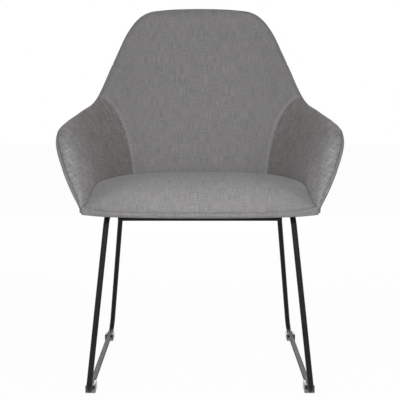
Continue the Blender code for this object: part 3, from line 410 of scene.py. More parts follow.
def round_end(face, behind, last, reach):
    """Add columns that close a wall's free end with a rounded nose of the given reach."""
    end = -1 if last else 0
    whole = np.concatenate([face[end], behind[end]])
    centre = (whole.min(axis=0) + whole.max(axis=0)) / 2
    step = face[end] - face[-3 if last else 2]
    forward = unit(step.mean(axis=0)) * reach
    closed = []
    for grid in (face, behind):
        made = np.array([centre + (grid[end] - centre) * math.cos(angle)
                         + forward * math.sin(angle) for angle in np.radians(NOSE_ANGLES)])
        closed.append(np.concatenate([grid, made] if last else [made[::-1], grid]))
    return closed


def weave_arm(grid):
    """Thread coordinates of an arm: straight threads parallel to its sloping front edge."""
    out = np.abs(grid[:, :, 0])
    return np.stack([ARM_THREADS[0][0] * out + ARM_THREADS[0][1] * grid[:, :, 1],
                     ARM_THREADS[1][0] * out + ARM_THREADS[1][1] * grid[:, :, 2]], axis=2)


def weave_from(grid):
    """Thread coordinates in metres: along the wall from its middle column, and up each column."""
    across, _ = distances(grid, 0)
    middle = len(grid) // 2
    return np.stack([across - across[middle:middle + 1], distances(grid, 1)[0]], axis=2)


def seam_angle(station):
    """Where on the rim the pad meets the cover: farther out on the arms than on the back."""
    arm = float(smooth((abs(station) - SEAM_STATION) / 2.0))
    return SEAM_ANGLE + (ARM_SEAM_ANGLE - SEAM_ANGLE) * arm


def pad_section(station, panel):
    """An inner pad's section: up the inner face and over the rim to the seam, and its rear."""
    rib = Rib(abs(station), panel)
    fade = np.interp(abs(station), [LOW_STATION, PAD_LAST_STATION], [1, 0])
    start = rib.height_value((BOARD_THICKNESS + BOARD_CLEARANCE) * fade)
    seam = seam_angle(station)
    points = np.concatenate([rib.face(np.linspace(start, 1, FACE_SAMPLES)),
                             rib.rim(np.linspace(rib.rim_end, seam, PAD_RIM_SAMPLES)[1:])])
    depth = (COVER_THICKNESS + LAYER_GAP * 2 + CORE_THICKNESS) * rib.thin
    top = rib.rim([seam * SEAM_OVERLAP], min(PAD_EDGE, rib.radius * PAD_EDGE_SHARE))
    levels = np.linspace(1 - PAD_TOP_GAP / max(length_of(points), 0.05), start, BEHIND_ROWS)
    return points, np.concatenate([top, rib.layer(levels, depth)])


def cover_section(station):
    """Outer cover's section: from the seam down the outer face and under its edge, and its rear."""
    rib = Rib(abs(station), panel_at(station))
    seam = seam_angle(station)
    over = rib.rim(np.linspace(seam, -math.pi / 2, COVER_RIM_SAMPLES)[:-1])
    face = rib.outer(np.linspace(1, 0, FACE_SAMPLES))
    hang = np.interp(abs(station), HANG_STATIONS, HANGS)
    turn = np.interp(abs(station), [LOW_STATION, LAST_STATION], [0, TIP_TURN])
    low = face[-1] + np.array([0, 0, -hang]) - rib.outward * turn
    radius = COVER_THICKNESS * max(rib.thin, 0.6) / 2
    middle = low + np.array([0, 0, radius]) - rib.outward * radius
    under = [middle + rib.outward * radius * math.cos(angle)
             - np.array([0, 0, radius * math.sin(angle)])
             for angle in np.radians(np.linspace(0, 150, 7))]
    depth = COVER_THICKNESS * rib.thin
    behind = np.concatenate([rib.layer(np.linspace(0.0, 0.96, BEHIND_ROWS), depth),
                             rib.rim([seam * SEAM_OVERLAP], depth)])
    return np.concatenate([over, face, under]), behind


def wall_grids(sections, reach, step, ends):
    """Face grid and rear grid of a wall's sections, with each section on its own side."""
    sides = np.array([[-1.0 if station < 0 else 1.0, 1.0, 1.0] for station in reach])
    longest = max(length_of(points) for points, _ in sections)
    shares = spaced(longest, step, ends) / longest
    face = np.stack([resample(points, shares * length_of(points)) * side
                     for (points, _), side in zip(sections, sides)])
    return face, np.stack([rear * side for (_, rear), side in zip(sections, sides)])


def sink(face, normals, to_seam, ends, reach, inset=0.0, edge_rows=(), end_rows=()):
    """A face sunk into its seams, and each point's distance from the nearest of them."""
    depth = seam_profile(to_seam, edge_rows) + inset
    near = to_seam
    for wanted, distance in zip(ends, distances(face, 0)):
        if wanted:
            depth = depth + seam_profile(distance, end_rows)
            near = np.minimum(near, distance)
    depth = np.minimum(depth, VALLEY_DEPTH + inset)
    thin = np.array([Rib(abs(station), panel_at(station)).thin for station in reach])[:, None]
    return face - normals * (depth * thin)[:, :, None], near


def build_pad(name, first, last, panel, ends):
    """Inner pad between two stations, with its pins and the number of rows in its face."""
    reach = station_positions(first, last, panel, PAD_STEP, ends)
    sections = [pad_section(station, panel) for station in reach]
    face, behind = wall_grids(sections, reach, PAD_STEP, (False, True))
    weave = weave_from(face)
    normals = grid_normals(face)
    half = face.shape[1] // 2
    if np.sum(normals[:, :half] * (SITTING_SPACE - face[:, :half])) < 0:
        normals = -normals
    face, near = sink(face, normals, distances(face, 1)[1], ends, reach, PUFF_INSET,
                      STITCH_ROWS[:1], STITCH_ROWS if panel == "back" else ())
    free = smooth((near - PINNED_NEAR_SEAM) / PIN_FADE)
    free[:, :PINNED_ROWS] = 0
    if not all(ends):
        face, behind = round_end(face, behind, ends[0], PAD_NOSE)
        added = np.zeros((len(NOSE_ANGLES), free.shape[1]))
        free = np.concatenate([free, added] if ends[0] else [added, free])
        weave = weave_arm(face)
    pins = np.ones((face.shape[0], face.shape[1] + behind.shape[1]))
    pins[:, :face.shape[1]] = 1 - free
    return solid_from_rows(name, face, behind, weave), pins, face.shape[1]


def build_cover(name, first, last, ends):
    """Outer cover between two stations."""
    reach = station_positions(first, last, "cover", COVER_STEP, ends)
    sections = [cover_section(station) for station in reach]
    face, behind = wall_grids(sections, reach, COVER_STEP, (True, True))
    weave = weave_from(face)
    normals = -towards(face, grid_normals(face), WALL_MIDDLE)
    face, _ = sink(face, normals, distances(face, 1)[0], ends, reach)
    if not all(ends):
        face, behind = round_end(face, behind, ends[0], COVER_NOSE)
        weave = weave_from(face)
    return solid_from_rows(name, face, behind, weave)


# Seat
EDGE_PROFILE = np.array((
    (0.10, -0.06, 0.20, 0.00), (0.020, -0.01, 0.03, 0.06), (-0.012, 0.09, 0.00, 0.30),
    (-0.018, 0.22, 0.00, 0.45), (0.010, 0.42, 0.00, 0.60), (0.11, 0.63, 0.02, 0.76),
    (0.33, 0.82, 0.12, 0.90), (0.64, 0.945, 0.45, 0.98), (1.00, 1.00, 1.00, 1.00)))
NOSE_PROFILE = np.array((
    (0.0045, -0.0040), (0.0009, -0.0007), (-0.0004, 0.0060), (-0.0006, 0.0150),
    (0.0016, 0.0270), (0.0080, 0.0390), (0.0190, 0.0510), (0.0345, 0.0605), (0.0520, 0.0675)))
EDGE_Y = (-0.264, -0.250, -0.235, -0.215, -0.180, -0.090, 0.105)
EDGE_Z = (0.4040, 0.4125, 0.4255, 0.4415, 0.4500, 0.4430, 0.4300)
NOSE_TOP = 0.4605
CORNER_TOP = 0.4040
CROWN = 0.003
CROWN_REAR = 0.105
CROWN_REAR_Z = 0.4300
CROWN_RISE = 0.0335
CROWN_RUN = 0.35
CUSHION_END = 11.9
CUSHION_STATION_STEP = 0.14
CUSHION_FLOOR = BOARD_THICKNESS + 0.002
CUSHION_CLEARANCE = 0.0012
FRONT_COLUMNS = 73
FRONT_COLUMNS_END = 0.2300
FRONT_ROUND = 0.045
SIDE_ROUND = 0.020
FRONT_RETURN = 0.028
EDGE_RINGS = 27
CROWN_RINGS = 26
SEAM_RING = 6
SEAM_CLEARANCE = 0.0004
NOSE_POWER = 8
CORNER_POWER = 12
CROWN_POWER = 5
# First station and length of the change to the nose and to the drop in front
NOSE_FADE = (9.6, 2.0)
DROP_FADE = (10.2, 1.4)
EASE_TURNS = 40
EASE_RINGS = (8, 8)
LEVEL_TURNS = 120
LEVEL_RINGS = (20, 14)
FILLING_VOXEL = 0.006


def seat_front_y(x):
    """Front line of the seat in plan."""
    share = abs(x) / CORNER_HALF_WIDTH
    return -SEAT_FRONT + (SEAT_FRONT - SEAT_CORNER) * share ** SEAT_ARC_POWER


def seam_z(x):
    """Height of the seam under the seat's front."""
    share = min(abs(x) / CORNER_HALF_WIDTH, 1)
    return SEAM_HEIGHT + SEAM_RISE * share ** SEAM_RISE_POWER


def edge_z(y):
    """Height of the line that the cushion's crown rises from."""
    return CROWN_REAR_Z + CROWN_RISE * (CROWN_REAR - y) / CROWN_RUN


def cushion_columns():
    """Columns round the cushion, as rib, side, shares of nose and drop, and place in plan."""
    columns = []
    for station in np.arange(-CUSHION_END, CUSHION_END + 0.01, CUSHION_STATION_STEP)[::-1]:
        columns.append((Rib(abs(station), panel_at(station)), -1.0 if station < 0 else 1.0,
                        *(float(smooth((abs(station) - start) / run))
                          for start, run in (NOSE_FADE, DROP_FADE)), None))
    along_wall = len(columns)
    for x in np.linspace(-FRONT_COLUMNS_END, FRONT_COLUMNS_END, FRONT_COLUMNS):
        columns.append((None, 1.0, 1.0, 1.0, np.array([x, seat_front_y(x)])))
    return columns, along_wall


def cushion_place(column, height, inset):
    """Place in plan of a column at a height over the board, moved in by an inset."""
    rib, side, _, _, plan = column
    if rib:
        plan = (rib.face([rib.height_value(height)])[0] * np.array([side, 1, 1]))[:2]
        inset = inset - CUSHION_CLEARANCE
    return plan + unit(CUSHION_CENTRE - plan) * inset


def cushion_edge_top(column):
    """Height of a column's upper edge."""
    foot = cushion_place(column, CUSHION_FLOOR, 0)
    if column[0]:
        return float(np.interp(foot[1], EDGE_Y, EDGE_Z))
    share = min(abs(foot[0]) / CORNER_HALF_WIDTH, 1)
    return NOSE_TOP - (NOSE_TOP - CORNER_TOP) * share ** CORNER_POWER


def cushion_mesh(name):
    """Seat cushion with rounded edges against the wall and a nose over the front.

    Returns the object and the indices of its vertices along the front seam."""
    columns, along_wall = cushion_columns()
    rings = [[], []]
    lows = []
    for column in columns:
        drop = column[3]
        insets = [FRONT_RETURN * drop + SIDE_ROUND * (1 - drop) * share for share in (0.6, 0.4)]
        here = cushion_place(column, CUSHION_FLOOR, insets[0])
        level = pan_z(here[1]) + CUSHION_FLOOR
        seam = seam_z(cushion_place(column, CUSHION_FLOOR, 0)[0]) + SEAM_CLEARANCE
        lows.append(level + (seam - level) * drop)
        rings[0].append((*here, level))
        rings[1].append((*cushion_place(column, CUSHION_FLOOR, insets[1]), lows[-1]))
    steps = np.linspace(0, 1, EDGE_RINGS)
    table = np.column_stack([np.interp(steps, np.linspace(0, 1, len(EDGE_PROFILE)), values)
                             for values in np.column_stack([EDGE_PROFILE, NOSE_PROFILE]).T])
    table[1:-1] = (table[:-2] + 2 * table[1:-1] + table[2:]) / 4
    tops = [cushion_edge_top(column) for column in columns]
    for front_in, front_up, side_in, side_up, nose_in, nose_up in table:
        ring = []
        for column, low, top in zip(columns, lows, tops):
            rib, _, nose, _, plan = column
            middle = 0.0 if rib else 1 - (abs(plan[0]) / CORNER_HALF_WIDTH) ** NOSE_POWER
            inset = FRONT_ROUND * front_in * nose + SIDE_ROUND * side_in * (1 - nose)
            inset += (nose_in - inset) * middle
            up = front_up * nose + side_up * (1 - nose)
            up += (nose_up / (NOSE_TOP - SEAM_HEIGHT) - up) * middle
            level = low + (top - low) * up
            foot = cushion_place(column, CUSHION_FLOOR, inset)
            ring.append((*cushion_place(column, level - pan_z(foot[1]), inset), level))
        rings.append(ring)
    edge = np.array(rings[-1])
    for share in np.linspace(0, 1, CROWN_RINGS)[1:-1]:
        plan = edge[:, :2] + (CUSHION_CENTRE - edge[:, :2]) * share
        above = (edge[:, 2] - edge_z(edge[:, 1])) * (1 - share) ** CROWN_POWER
        rings.append(np.column_stack([
            plan, edge_z(plan[:, 1]) + above + CROWN * (1 - (1 - share) ** 2)]))
    grid = np.array([np.array(ring) for ring in rings])
    numbers = np.arange(len(grid))
    share = smooth((numbers - EASE_RINGS[0]) / EASE_RINGS[1])[1:-1, None, None]
    for _ in range(EASE_TURNS):
        eased = (grid[:-2] + 2 * grid[1:-1] + grid[2:]) / 4
        eased = (np.roll(eased, 1, 1) + 2 * eased + np.roll(eased, -1, 1)) / 4
        grid[1:-1] += (eased - grid[1:-1]) * share
    share = smooth((numbers - LEVEL_RINGS[0]) / LEVEL_RINGS[1])[:, None]
    for _ in range(LEVEL_TURNS):
        level = grid[:, :, 2]
        eased = (np.roll(level, 1, 1) + 2 * level + np.roll(level, -1, 1)) / 4
        grid[:, :, 2] = level + (eased - level) * share
    bm = bmesh.new()
    rows = [[bm.verts.new(point) for point in ring] for ring in grid]
    bridge(bm, rows)
    bm.faces.new(rows[0])
    bm.faces.new(rows[-1])
    front = np.arange(SEAM_RING * len(columns) + along_wall, (SEAM_RING + 1) * len(columns))
    return object_from(bm, name), front


def cushion_filling():
    """Evenly meshed copy of the cushion for the simulation, with its pins."""
    item, _ = cushion_mesh("cushion_filling")
    remesh = item.modifiers.new("Remesh", "REMESH")
    remesh.mode = "VOXEL"
    remesh.voxel_size = FILLING_VOXEL
    relax = item.modifiers.new("Relax", "SMOOTH")
    relax.factor = 0.5
    relax.iterations = 4
    apply_modifiers(item)
    co = coordinates(item.data)
    seam = np.array([seam_z(x) for x in co[:, 0]])
    low = np.maximum(seam + 0.006, pan_z(co[:, 1]) + 0.03)
    top = np.maximum(edge_z(co[:, 1]) - 0.010, low + 0.012)
    return item, 1 - smooth((co[:, 2] - low) / (top - low))


def carry_over(rest, moved, item):
    """Move an object's points as the points of a simulated copy near them moved."""
    tree = KDTree(len(rest))
    for index, point in enumerate(rest):
        tree.insert(point, index)
    tree.balance()
    co = coordinates(item.data)
    for index, point in enumerate(co):
        near = tree.find_n(point, 6)
        weights = np.array([1 / (distance + 0.003) ** 2 for _, _, distance in near])
        steps = np.array([moved[found] - rest[found] for _, found, _ in near])
        co[index] = point + weights @ steps / weights.sum()
    move_to(item.data, co)


def weave_cushion(item):
    """Thread coordinates of the cushion: across, and back from the front seam over the nose."""
    co = coordinates(item.data)
    fall = np.maximum(edge_z(co[:, 1]) + 0.012 - co[:, 2], 0)
    values = np.column_stack([co[:, 0], co[:, 1] - fall, np.zeros(len(co))])
    layer = item.data.attributes.new("weave", "FLOAT_VECTOR", "POINT")
    layer.data.foreach_set("vector", values.astype(np.float32).ravel())


# Swelling
CLOTH = {
    "quality": 5, "mass": 0.3, "tension_stiffness": 12, "compression_stiffness": 12,
    "shear_stiffness": 6, "bending_stiffness": 1.5, "use_pressure": True,
    "vertex_group_mass": "pins",
}
CLOTH_FRAMES = 20
# Pressure, and about the farthest that a point moves
PAD_SWELL = (1.5, 0.0030)
CUSHION_SWELL = (2.5, 0.0040)


def swell(items):
    """Swell pads with a cloth simulation under pressure, and cap how far each point moves."""
    scene = bpy.context.scene
    rests = []
    for item, pins, pressure, _ in items:
        rests.append(coordinates(item.data))
        group = item.vertex_groups.new(name="pins")
        levels = np.round(pins, 2)
        for level in np.unique(levels):
            group.add(np.nonzero(levels == level)[0].tolist(), float(level), "REPLACE")
        cloth = item.modifiers.new("Cloth", "CLOTH")
        for key, value in CLOTH.items():
            setattr(cloth.settings, key, value)
        cloth.settings.uniform_pressure_force = pressure
        cloth.settings.effector_weights.gravity = 0
        cloth.collision_settings.use_collision = False
        cloth.point_cache.frame_start = 1
        cloth.point_cache.frame_end = CLOTH_FRAMES
    for step in range(1, CLOTH_FRAMES + 1):
        scene.frame_set(step)
    graph = bpy.context.evaluated_depsgraph_get()
    for (item, _, _, cap), rest in zip(items, rests):
        move = coordinates(item.evaluated_get(graph).data) - rest
        far = np.linalg.norm(move, axis=1, keepdims=True)
        move = move * (cap * np.tanh(far / cap) / np.maximum(far, 1e-9))
        item.modifiers.clear()
        item.vertex_groups.clear()
        move_to(item.data, rest + move)
    scene.frame_set(1)


# Border
BORDER_OUTER = np.array((
    (0.000, 0.00), (-0.026, -0.18), (-0.024, -0.42), (-0.004, -0.66), (0.032, -0.86),
    (0.076, -0.97), (0.130, -1.02), (0.300, -0.93), (0.450, -0.80), (0.720, -0.45),
    (1.000, -0.16)))
BORDER_TIP = np.array((
    (0.2298, -0.2604), (0.2335, -0.2598), (0.2364, -0.2585), (0.2384, -0.2566),
    (0.2395, -0.2545), (0.2401, -0.2515), (0.2405, -0.2480), (0.2406, -0.2440)))
BORDER_LOW = 0.3818
BORDER_TIP_LOW = 0.3852
BORDER_HALF_WIDTH = 0.2385
BORDER_FRONT_END = 0.2262
BORDER_COLUMNS = 91
BORDER_ROWS = 31
BORDER_DEPTH = 0.052
BORDER_THICKNESS = 0.0030
BORDER_NARROWING = 0.89
BORDER_DROOP = 0.35
BORDER_WEAVE_START = 0.4


def build_border():
    """Strip under the front seam, turned round the arms' tips into the outer covers."""
    middle = np.array([(x, seat_front_y(x)) for x in np.linspace(
        -BORDER_FRONT_END, BORDER_FRONT_END, BORDER_COLUMNS)])
    path = np.concatenate([BORDER_TIP[::-1] * (-1, 1), middle, BORDER_TIP])
    along = unit(np.gradient(path, axis=0))
    inward = np.column_stack([-along[:, 1], along[:, 0]])
    steps = np.linspace(0, len(BORDER_OUTER) - 1, BORDER_ROWS)
    back, up = (np.interp(steps, range(len(BORDER_OUTER)), column) for column in BORDER_OUTER.T)
    face, behind = [], []
    for (x, y), normal in zip(path, inward):
        corner = min(abs(x) / BORDER_HALF_WIDTH, 1.0)
        reach = BORDER_DEPTH * (1 - BORDER_NARROWING * corner ** 3)
        low = BORDER_LOW + (BORDER_TIP_LOW - BORDER_LOW) * corner ** 8
        high = seam_z(x)
        drop = BORDER_DROOP * corner ** 3 * (1 - corner ** 12)
        level = high + (up - drop * np.maximum(back, 0) * (1 + up)) * (high - low)
        outer = np.column_stack([x + normal[0] * back * reach, y + normal[1] * back * reach, level])
        follow = np.gradient(np.column_stack([back * reach, level]), axis=0)
        lean = unit(np.column_stack([-follow[:, 1], follow[:, 0]])) * BORDER_THICKNESS
        inner = outer + np.column_stack([
            normal[0] * lean[:, 0], normal[1] * lean[:, 0], lean[:, 1]])
        inner[0, 2] = outer[0, 2]
        face.append(outer)
        behind.append(inner[::-1][::3])
    face = np.stack(face)
    weave = weave_from(face)
    weave[:, :, 1] = -weave[:, :, 1] - BORDER_WEAVE_START
    return solid_from_rows("front_border_cover", face, np.stack(behind), weave)


# Rows of stitches
def stitch_row(name, points, normals, thickness=STITCH_RADIUS):
    """Short thread stitches along a line, each one a small capsule sunk a little in the cloth."""
    pitch = STITCH_LENGTH + STITCH_GAP
    total = length_of(points)
    count = max(int(total / pitch), 1)
    lengths = run_lengths(points)
    turns = [math.tau * k / STITCH_SIDES for k in range(STITCH_SIDES)]
    bm = bmesh.new()

    def at(values, place):
        return np.array([np.interp(place, lengths, values[:, axis]) for axis in range(3)])

    for start in np.arange(count) * pitch + (total - count * pitch) / 2:
        begin, end = at(points, start), at(points, start + STITCH_LENGTH)
        normal = unit(at(normals, start + STITCH_LENGTH / 2))
        side = unit(np.cross(unit(end - begin), normal))
        rows = []
        for share, swell_share, lift in STITCH_SHAPE:
            centre = begin + (end - begin) * share + normal * thickness * lift
            radius = thickness * swell_share
            rows.append([bm.verts.new(centre + side * radius * math.cos(turn)
                                      + normal * radius * math.sin(turn)) for turn in turns])
        bridge(bm, rows)
        bm.faces.new(rows[0])
        bm.faces.new(rows[-1])
    return object_from(bm, name)


def seam_line(grid, distance, span, reverse):
    """Points and normals of a line on a grid, at a distance from its first or last column."""
    normals = grid_normals(grid)
    run = distances(grid, 0)[1 if reverse else 0]
    order = slice(None, None, -1 if reverse else 1)
    return [np.array([[np.interp(distance, run[order, row], values[order, row, axis])
                       for axis in range(3)] for row in range(grid.shape[1])[slice(*span)]])
            for values in (grid, normals)]


# Rod base
ROD_RADIUS = 0.0060
RUNNER_Z = 0.0105
RUNNER_HALF_SPACING = 0.2310
RUNNER_ENDS = (-0.2550, 0.2500)
BEND_RADIUS = 0.026
BEND_STEPS = 18
SPLAY_SLOPE = 0.110
FRONT_LEAN = 0.078
REAR_LEAN = -0.300
RAIL_DROP = 0.0009 + 0.001 + 0.003 + ROD_RADIUS
GLIDE_Y = (("front", -0.203), ("rear", 0.190))
GLIDE_WIDTH = 0.0215
GLIDE_HEIGHT = 0.017
GLIDE_LENGTH = 0.035
GLIDE_MOUTH = 0.008
GLIDE_CORNER = 0.003
GLIDE_FOOT_CORNER = 0.0015
GLIDE_BEVEL = 0.0008
SIDES = (("left", 1), ("right", -1))


def splay_x(z):
    """Half distance between the two loops at a height."""
    return RUNNER_HALF_SPACING - SPLAY_SLOPE * (z - RUNNER_Z)


def rail_z(y):
    """Height of the rail's centre line."""
    return pan_z(y) - RAIL_DROP / math.cos(PAN_SLOPE)


def loop_corners():
    """Corners of a side loop in its own y and z."""
    slope = math.tan(PAN_SLOPE)
    corners = [np.array([y, RUNNER_Z]) for y in RUNNER_ENDS]
    for foot, lean in ((corners[1], REAR_LEAN), (corners[0], FRONT_LEAN)):
        rise = (rail_z(0) - slope * foot[0] - foot[1]) / (1 + slope * lean)
        corners.append(foot + np.array([lean * rise, rise]))
    return corners


def bent_path(corners):
    """Closed path with its corners bent."""
    path = []
    for index, corner in enumerate(corners):
        before = unit(corners[index - 1] - corner)
        after = unit(corners[(index + 1) % len(corners)] - corner)
        half = math.acos(float(before.dot(after))) / 2
        centre = corner + unit(before + after) * BEND_RADIUS / math.sin(half)
        start = corner + before * BEND_RADIUS / math.tan(half) - centre
        turn = math.pi - 2 * half
        direction = -1 if before[0] * after[1] - before[1] * after[0] > 0 else 1
        for step in range(BEND_STEPS + 1):
            angle = direction * turn * step / BEND_STEPS
            path.append(centre + [start[0] * math.cos(angle) - start[1] * math.sin(angle),
                                  start[0] * math.sin(angle) + start[1] * math.cos(angle)])
    return path


def build_loop(name, sign):
    """One side of the sled as a smooth tube."""
    curve = bpy.data.curves.new(name, "CURVE")
    curve.dimensions = "3D"
    curve.bevel_depth = ROD_RADIUS
    curve.bevel_resolution = 10
    path = bent_path(loop_corners())
    spline = curve.splines.new("POLY")
    spline.points.add(len(path) - 1)
    for point, (y, z) in zip(spline.points, path):
        point.co = (sign * splay_x(z), y, z, 1)
    spline.use_cyclic_u = True
    item = link_object(name, curve)
    mesh = evaluated_mesh(item)
    bpy.data.objects.remove(item)
    mesh.name = name
    mesh.shade_smooth()
    return link_object(name, mesh)


def arc(centre, radii, first, last, steps):
    """Points on an ellipse from one angle in degrees to another."""
    return [(centre[0] + radii[0] * math.cos(angle), centre[1] + radii[1] * math.sin(angle))
            for angle in np.radians(np.linspace(first, last, steps + 1))]


def build_glide(name, x, y):
    """Saddle glide that snaps round the rod, with its edges rounded."""
    side = GLIDE_WIDTH / 2 - GLIDE_CORNER
    bore = ROD_RADIUS + 0.0003
    mouth = math.degrees(math.asin(GLIDE_MOUTH / 2 / bore))
    right = arc((side, GLIDE_FOOT_CORNER), (GLIDE_CORNER, GLIDE_FOOT_CORNER), -90, 0, 6)
    right += arc((side, GLIDE_HEIGHT - GLIDE_CORNER), (GLIDE_CORNER, GLIDE_CORNER), 0, 90, 8)
    right.append((GLIDE_MOUTH / 2 + GLIDE_BEVEL, GLIDE_HEIGHT))
    outline = right + arc((0, RUNNER_Z), (bore, bore), 90 - mouth, mouth - 270, 28)
    outline += [(-across, up) for across, up in right[::-1]]
    bm = bmesh.new()
    rows = [[bm.verts.new((x + across, y + step, up)) for across, up in outline]
            for step in (-GLIDE_LENGTH / 2, GLIDE_LENGTH / 2)]
    bm.faces.new(rows[0])
    bm.faces.new(rows[1])
    bridge(bm, rows)
    item = object_from(bm, name)
    bevel = item.modifiers.new("Bevel", "BEVEL")
    bevel.width = GLIDE_BEVEL
    bevel.segments = 3
    bevel.limit_method = "ANGLE"
    bevel.angle_limit = math.radians(50)
    apply_modifiers(item)
    item.data.shade_smooth()
    item.data.set_sharp_from_angle(angle=math.radians(40))
    return item


# Materials
class Nodes:
    """Short calls that add nodes to one material or world."""

    def __init__(self, owner):
        owner.use_nodes = True
        self.owner = owner
        self.tree = owner.node_tree
        self.shader = self.tree.nodes.get("Principled BSDF")

    def add(self, kind, **values):
        """A node, with its settings by name and its inputs by name after an underscore."""
        node = self.tree.nodes.new(kind)
        for key, value in values.items():
            if key.startswith("_"):
                node.inputs[key[1:]].default_value = value
            else:
                setattr(node, key, value)
        return node

    def link(self, output, target):
        self.tree.links.new(output, target)

    def constant(self, **values):
        """Constants on the shader's inputs, their names with underscores for spaces."""
        for key, value in values.items():
            self.shader.inputs[key.replace("_", " ")].default_value = value

    def math(self, operation, a, b=None):
        node = self.add("ShaderNodeMath", operation=operation)
        for index, value in enumerate((a, b)):
            if isinstance(value, (int, float)):
                node.inputs[index].default_value = value
            elif value is not None:
                self.link(value, node.inputs[index])
        return node.outputs[0]

    def weigh(self, value, share, rest):
        """A value times a share, plus the rest."""
        return self.math("ADD", self.math("MULTIPLY", value, share), rest)

    def position(self):
        """Position in metres in the object's own frame."""
        return self.add("ShaderNodeTexCoord").outputs["Object"]

    def split(self, vector):
        node = self.add("ShaderNodeSeparateXYZ")
        self.link(vector, node.inputs[0])
        return node.outputs

    def noise(self, vector, scale, detail=2.0, roughness=0.5):
        """Noise at one scale, or at one scale for each axis."""
        if isinstance(scale, tuple):
            stretch = self.add("ShaderNodeMapping", _Scale=scale)
            self.link(vector, stretch.inputs["Vector"])
            vector, scale = stretch.outputs["Vector"], 1.0
        node = self.add("ShaderNodeTexNoise", _Scale=scale, _Detail=detail, _Roughness=roughness)
        self.link(vector, node.inputs["Vector"])
        return node.outputs["Fac"]

    def ramp(self, factor, stops):
        node = self.add("ShaderNodeValToRGB")
        elements = node.color_ramp.elements
        while len(elements) < len(stops):
            elements.new(0.5)
        for element, (position, colour) in zip(elements, stops):
            element.position = position
            element.color = (*colour, 1.0)
        self.link(factor, node.inputs["Fac"])
        return node.outputs["Color"]

    def surface(self, colour, rough, relief=None, strength=0.0, distance=0.0):
        """Base colour, roughness, and bump from a relief where there is one."""
        self.link(colour, self.shader.inputs["Base Color"])
        self.link(rough, self.shader.inputs["Roughness"])
        if relief is not None:
            node = self.add("ShaderNodeBump", _Strength=strength, _Distance=distance)
            self.link(relief, node.inputs["Height"])
            self.link(node.outputs["Normal"], self.shader.inputs["Normal"])
        return self.owner

    def show_white(self, share, lit, kind):
        """Show a share of plain white in place of a lit shader, on the owner's output."""
        white = self.add(kind, _Color=(1, 1, 1, 1), _Strength=1.0)
        mix = self.add("ShaderNodeMixShader")
        for index, output in enumerate((share, lit.outputs[0], white.outputs[0])):
            self.link(output, mix.inputs[index])
        output = next(node for node in self.tree.nodes if node.type.startswith("OUTPUT"))
        self.link(mix.outputs[0], output.inputs["Surface"])

    def sees_background(self):
        """One for camera, glossy and transmission rays, and nought for the others."""
        path = self.add("ShaderNodeLightPath").outputs
        return self.math("MAXIMUM", path["Is Camera Ray"], self.math(
            "MAXIMUM", path["Is Glossy Ray"], path["Is Transmission Ray"]))


def material(name):
    return Nodes(bpy.data.materials.new(name))


# Weave: yarns to a metre across and along the cloth, and their share of its tone
THREAD_PITCH = 0.0011
SLUBS = (720.0, 34.0, 1.00)
YARNS = (230.0, 13.0, 0.22)
CROSSINGS = (38.0, 600.0)
FIBRE_SHARE = 0.50
RELIEF_SHARE = 0.30
DARK_STOP, BASE_STOP, LIGHT_STOP = 0.05, 0.5, 0.95
LIGHT_TONE = 1.45
DARK_TONE = 0.56
# Painted light on the arms: how their front edge leans, where it lies, and how far back its lighter
# tone reaches
ARM_EDGE_SLOPE = 0.745
ARM_EDGE_START = -0.5634
ARM_PAINTED_LIGHT_DEPTH = 0.075


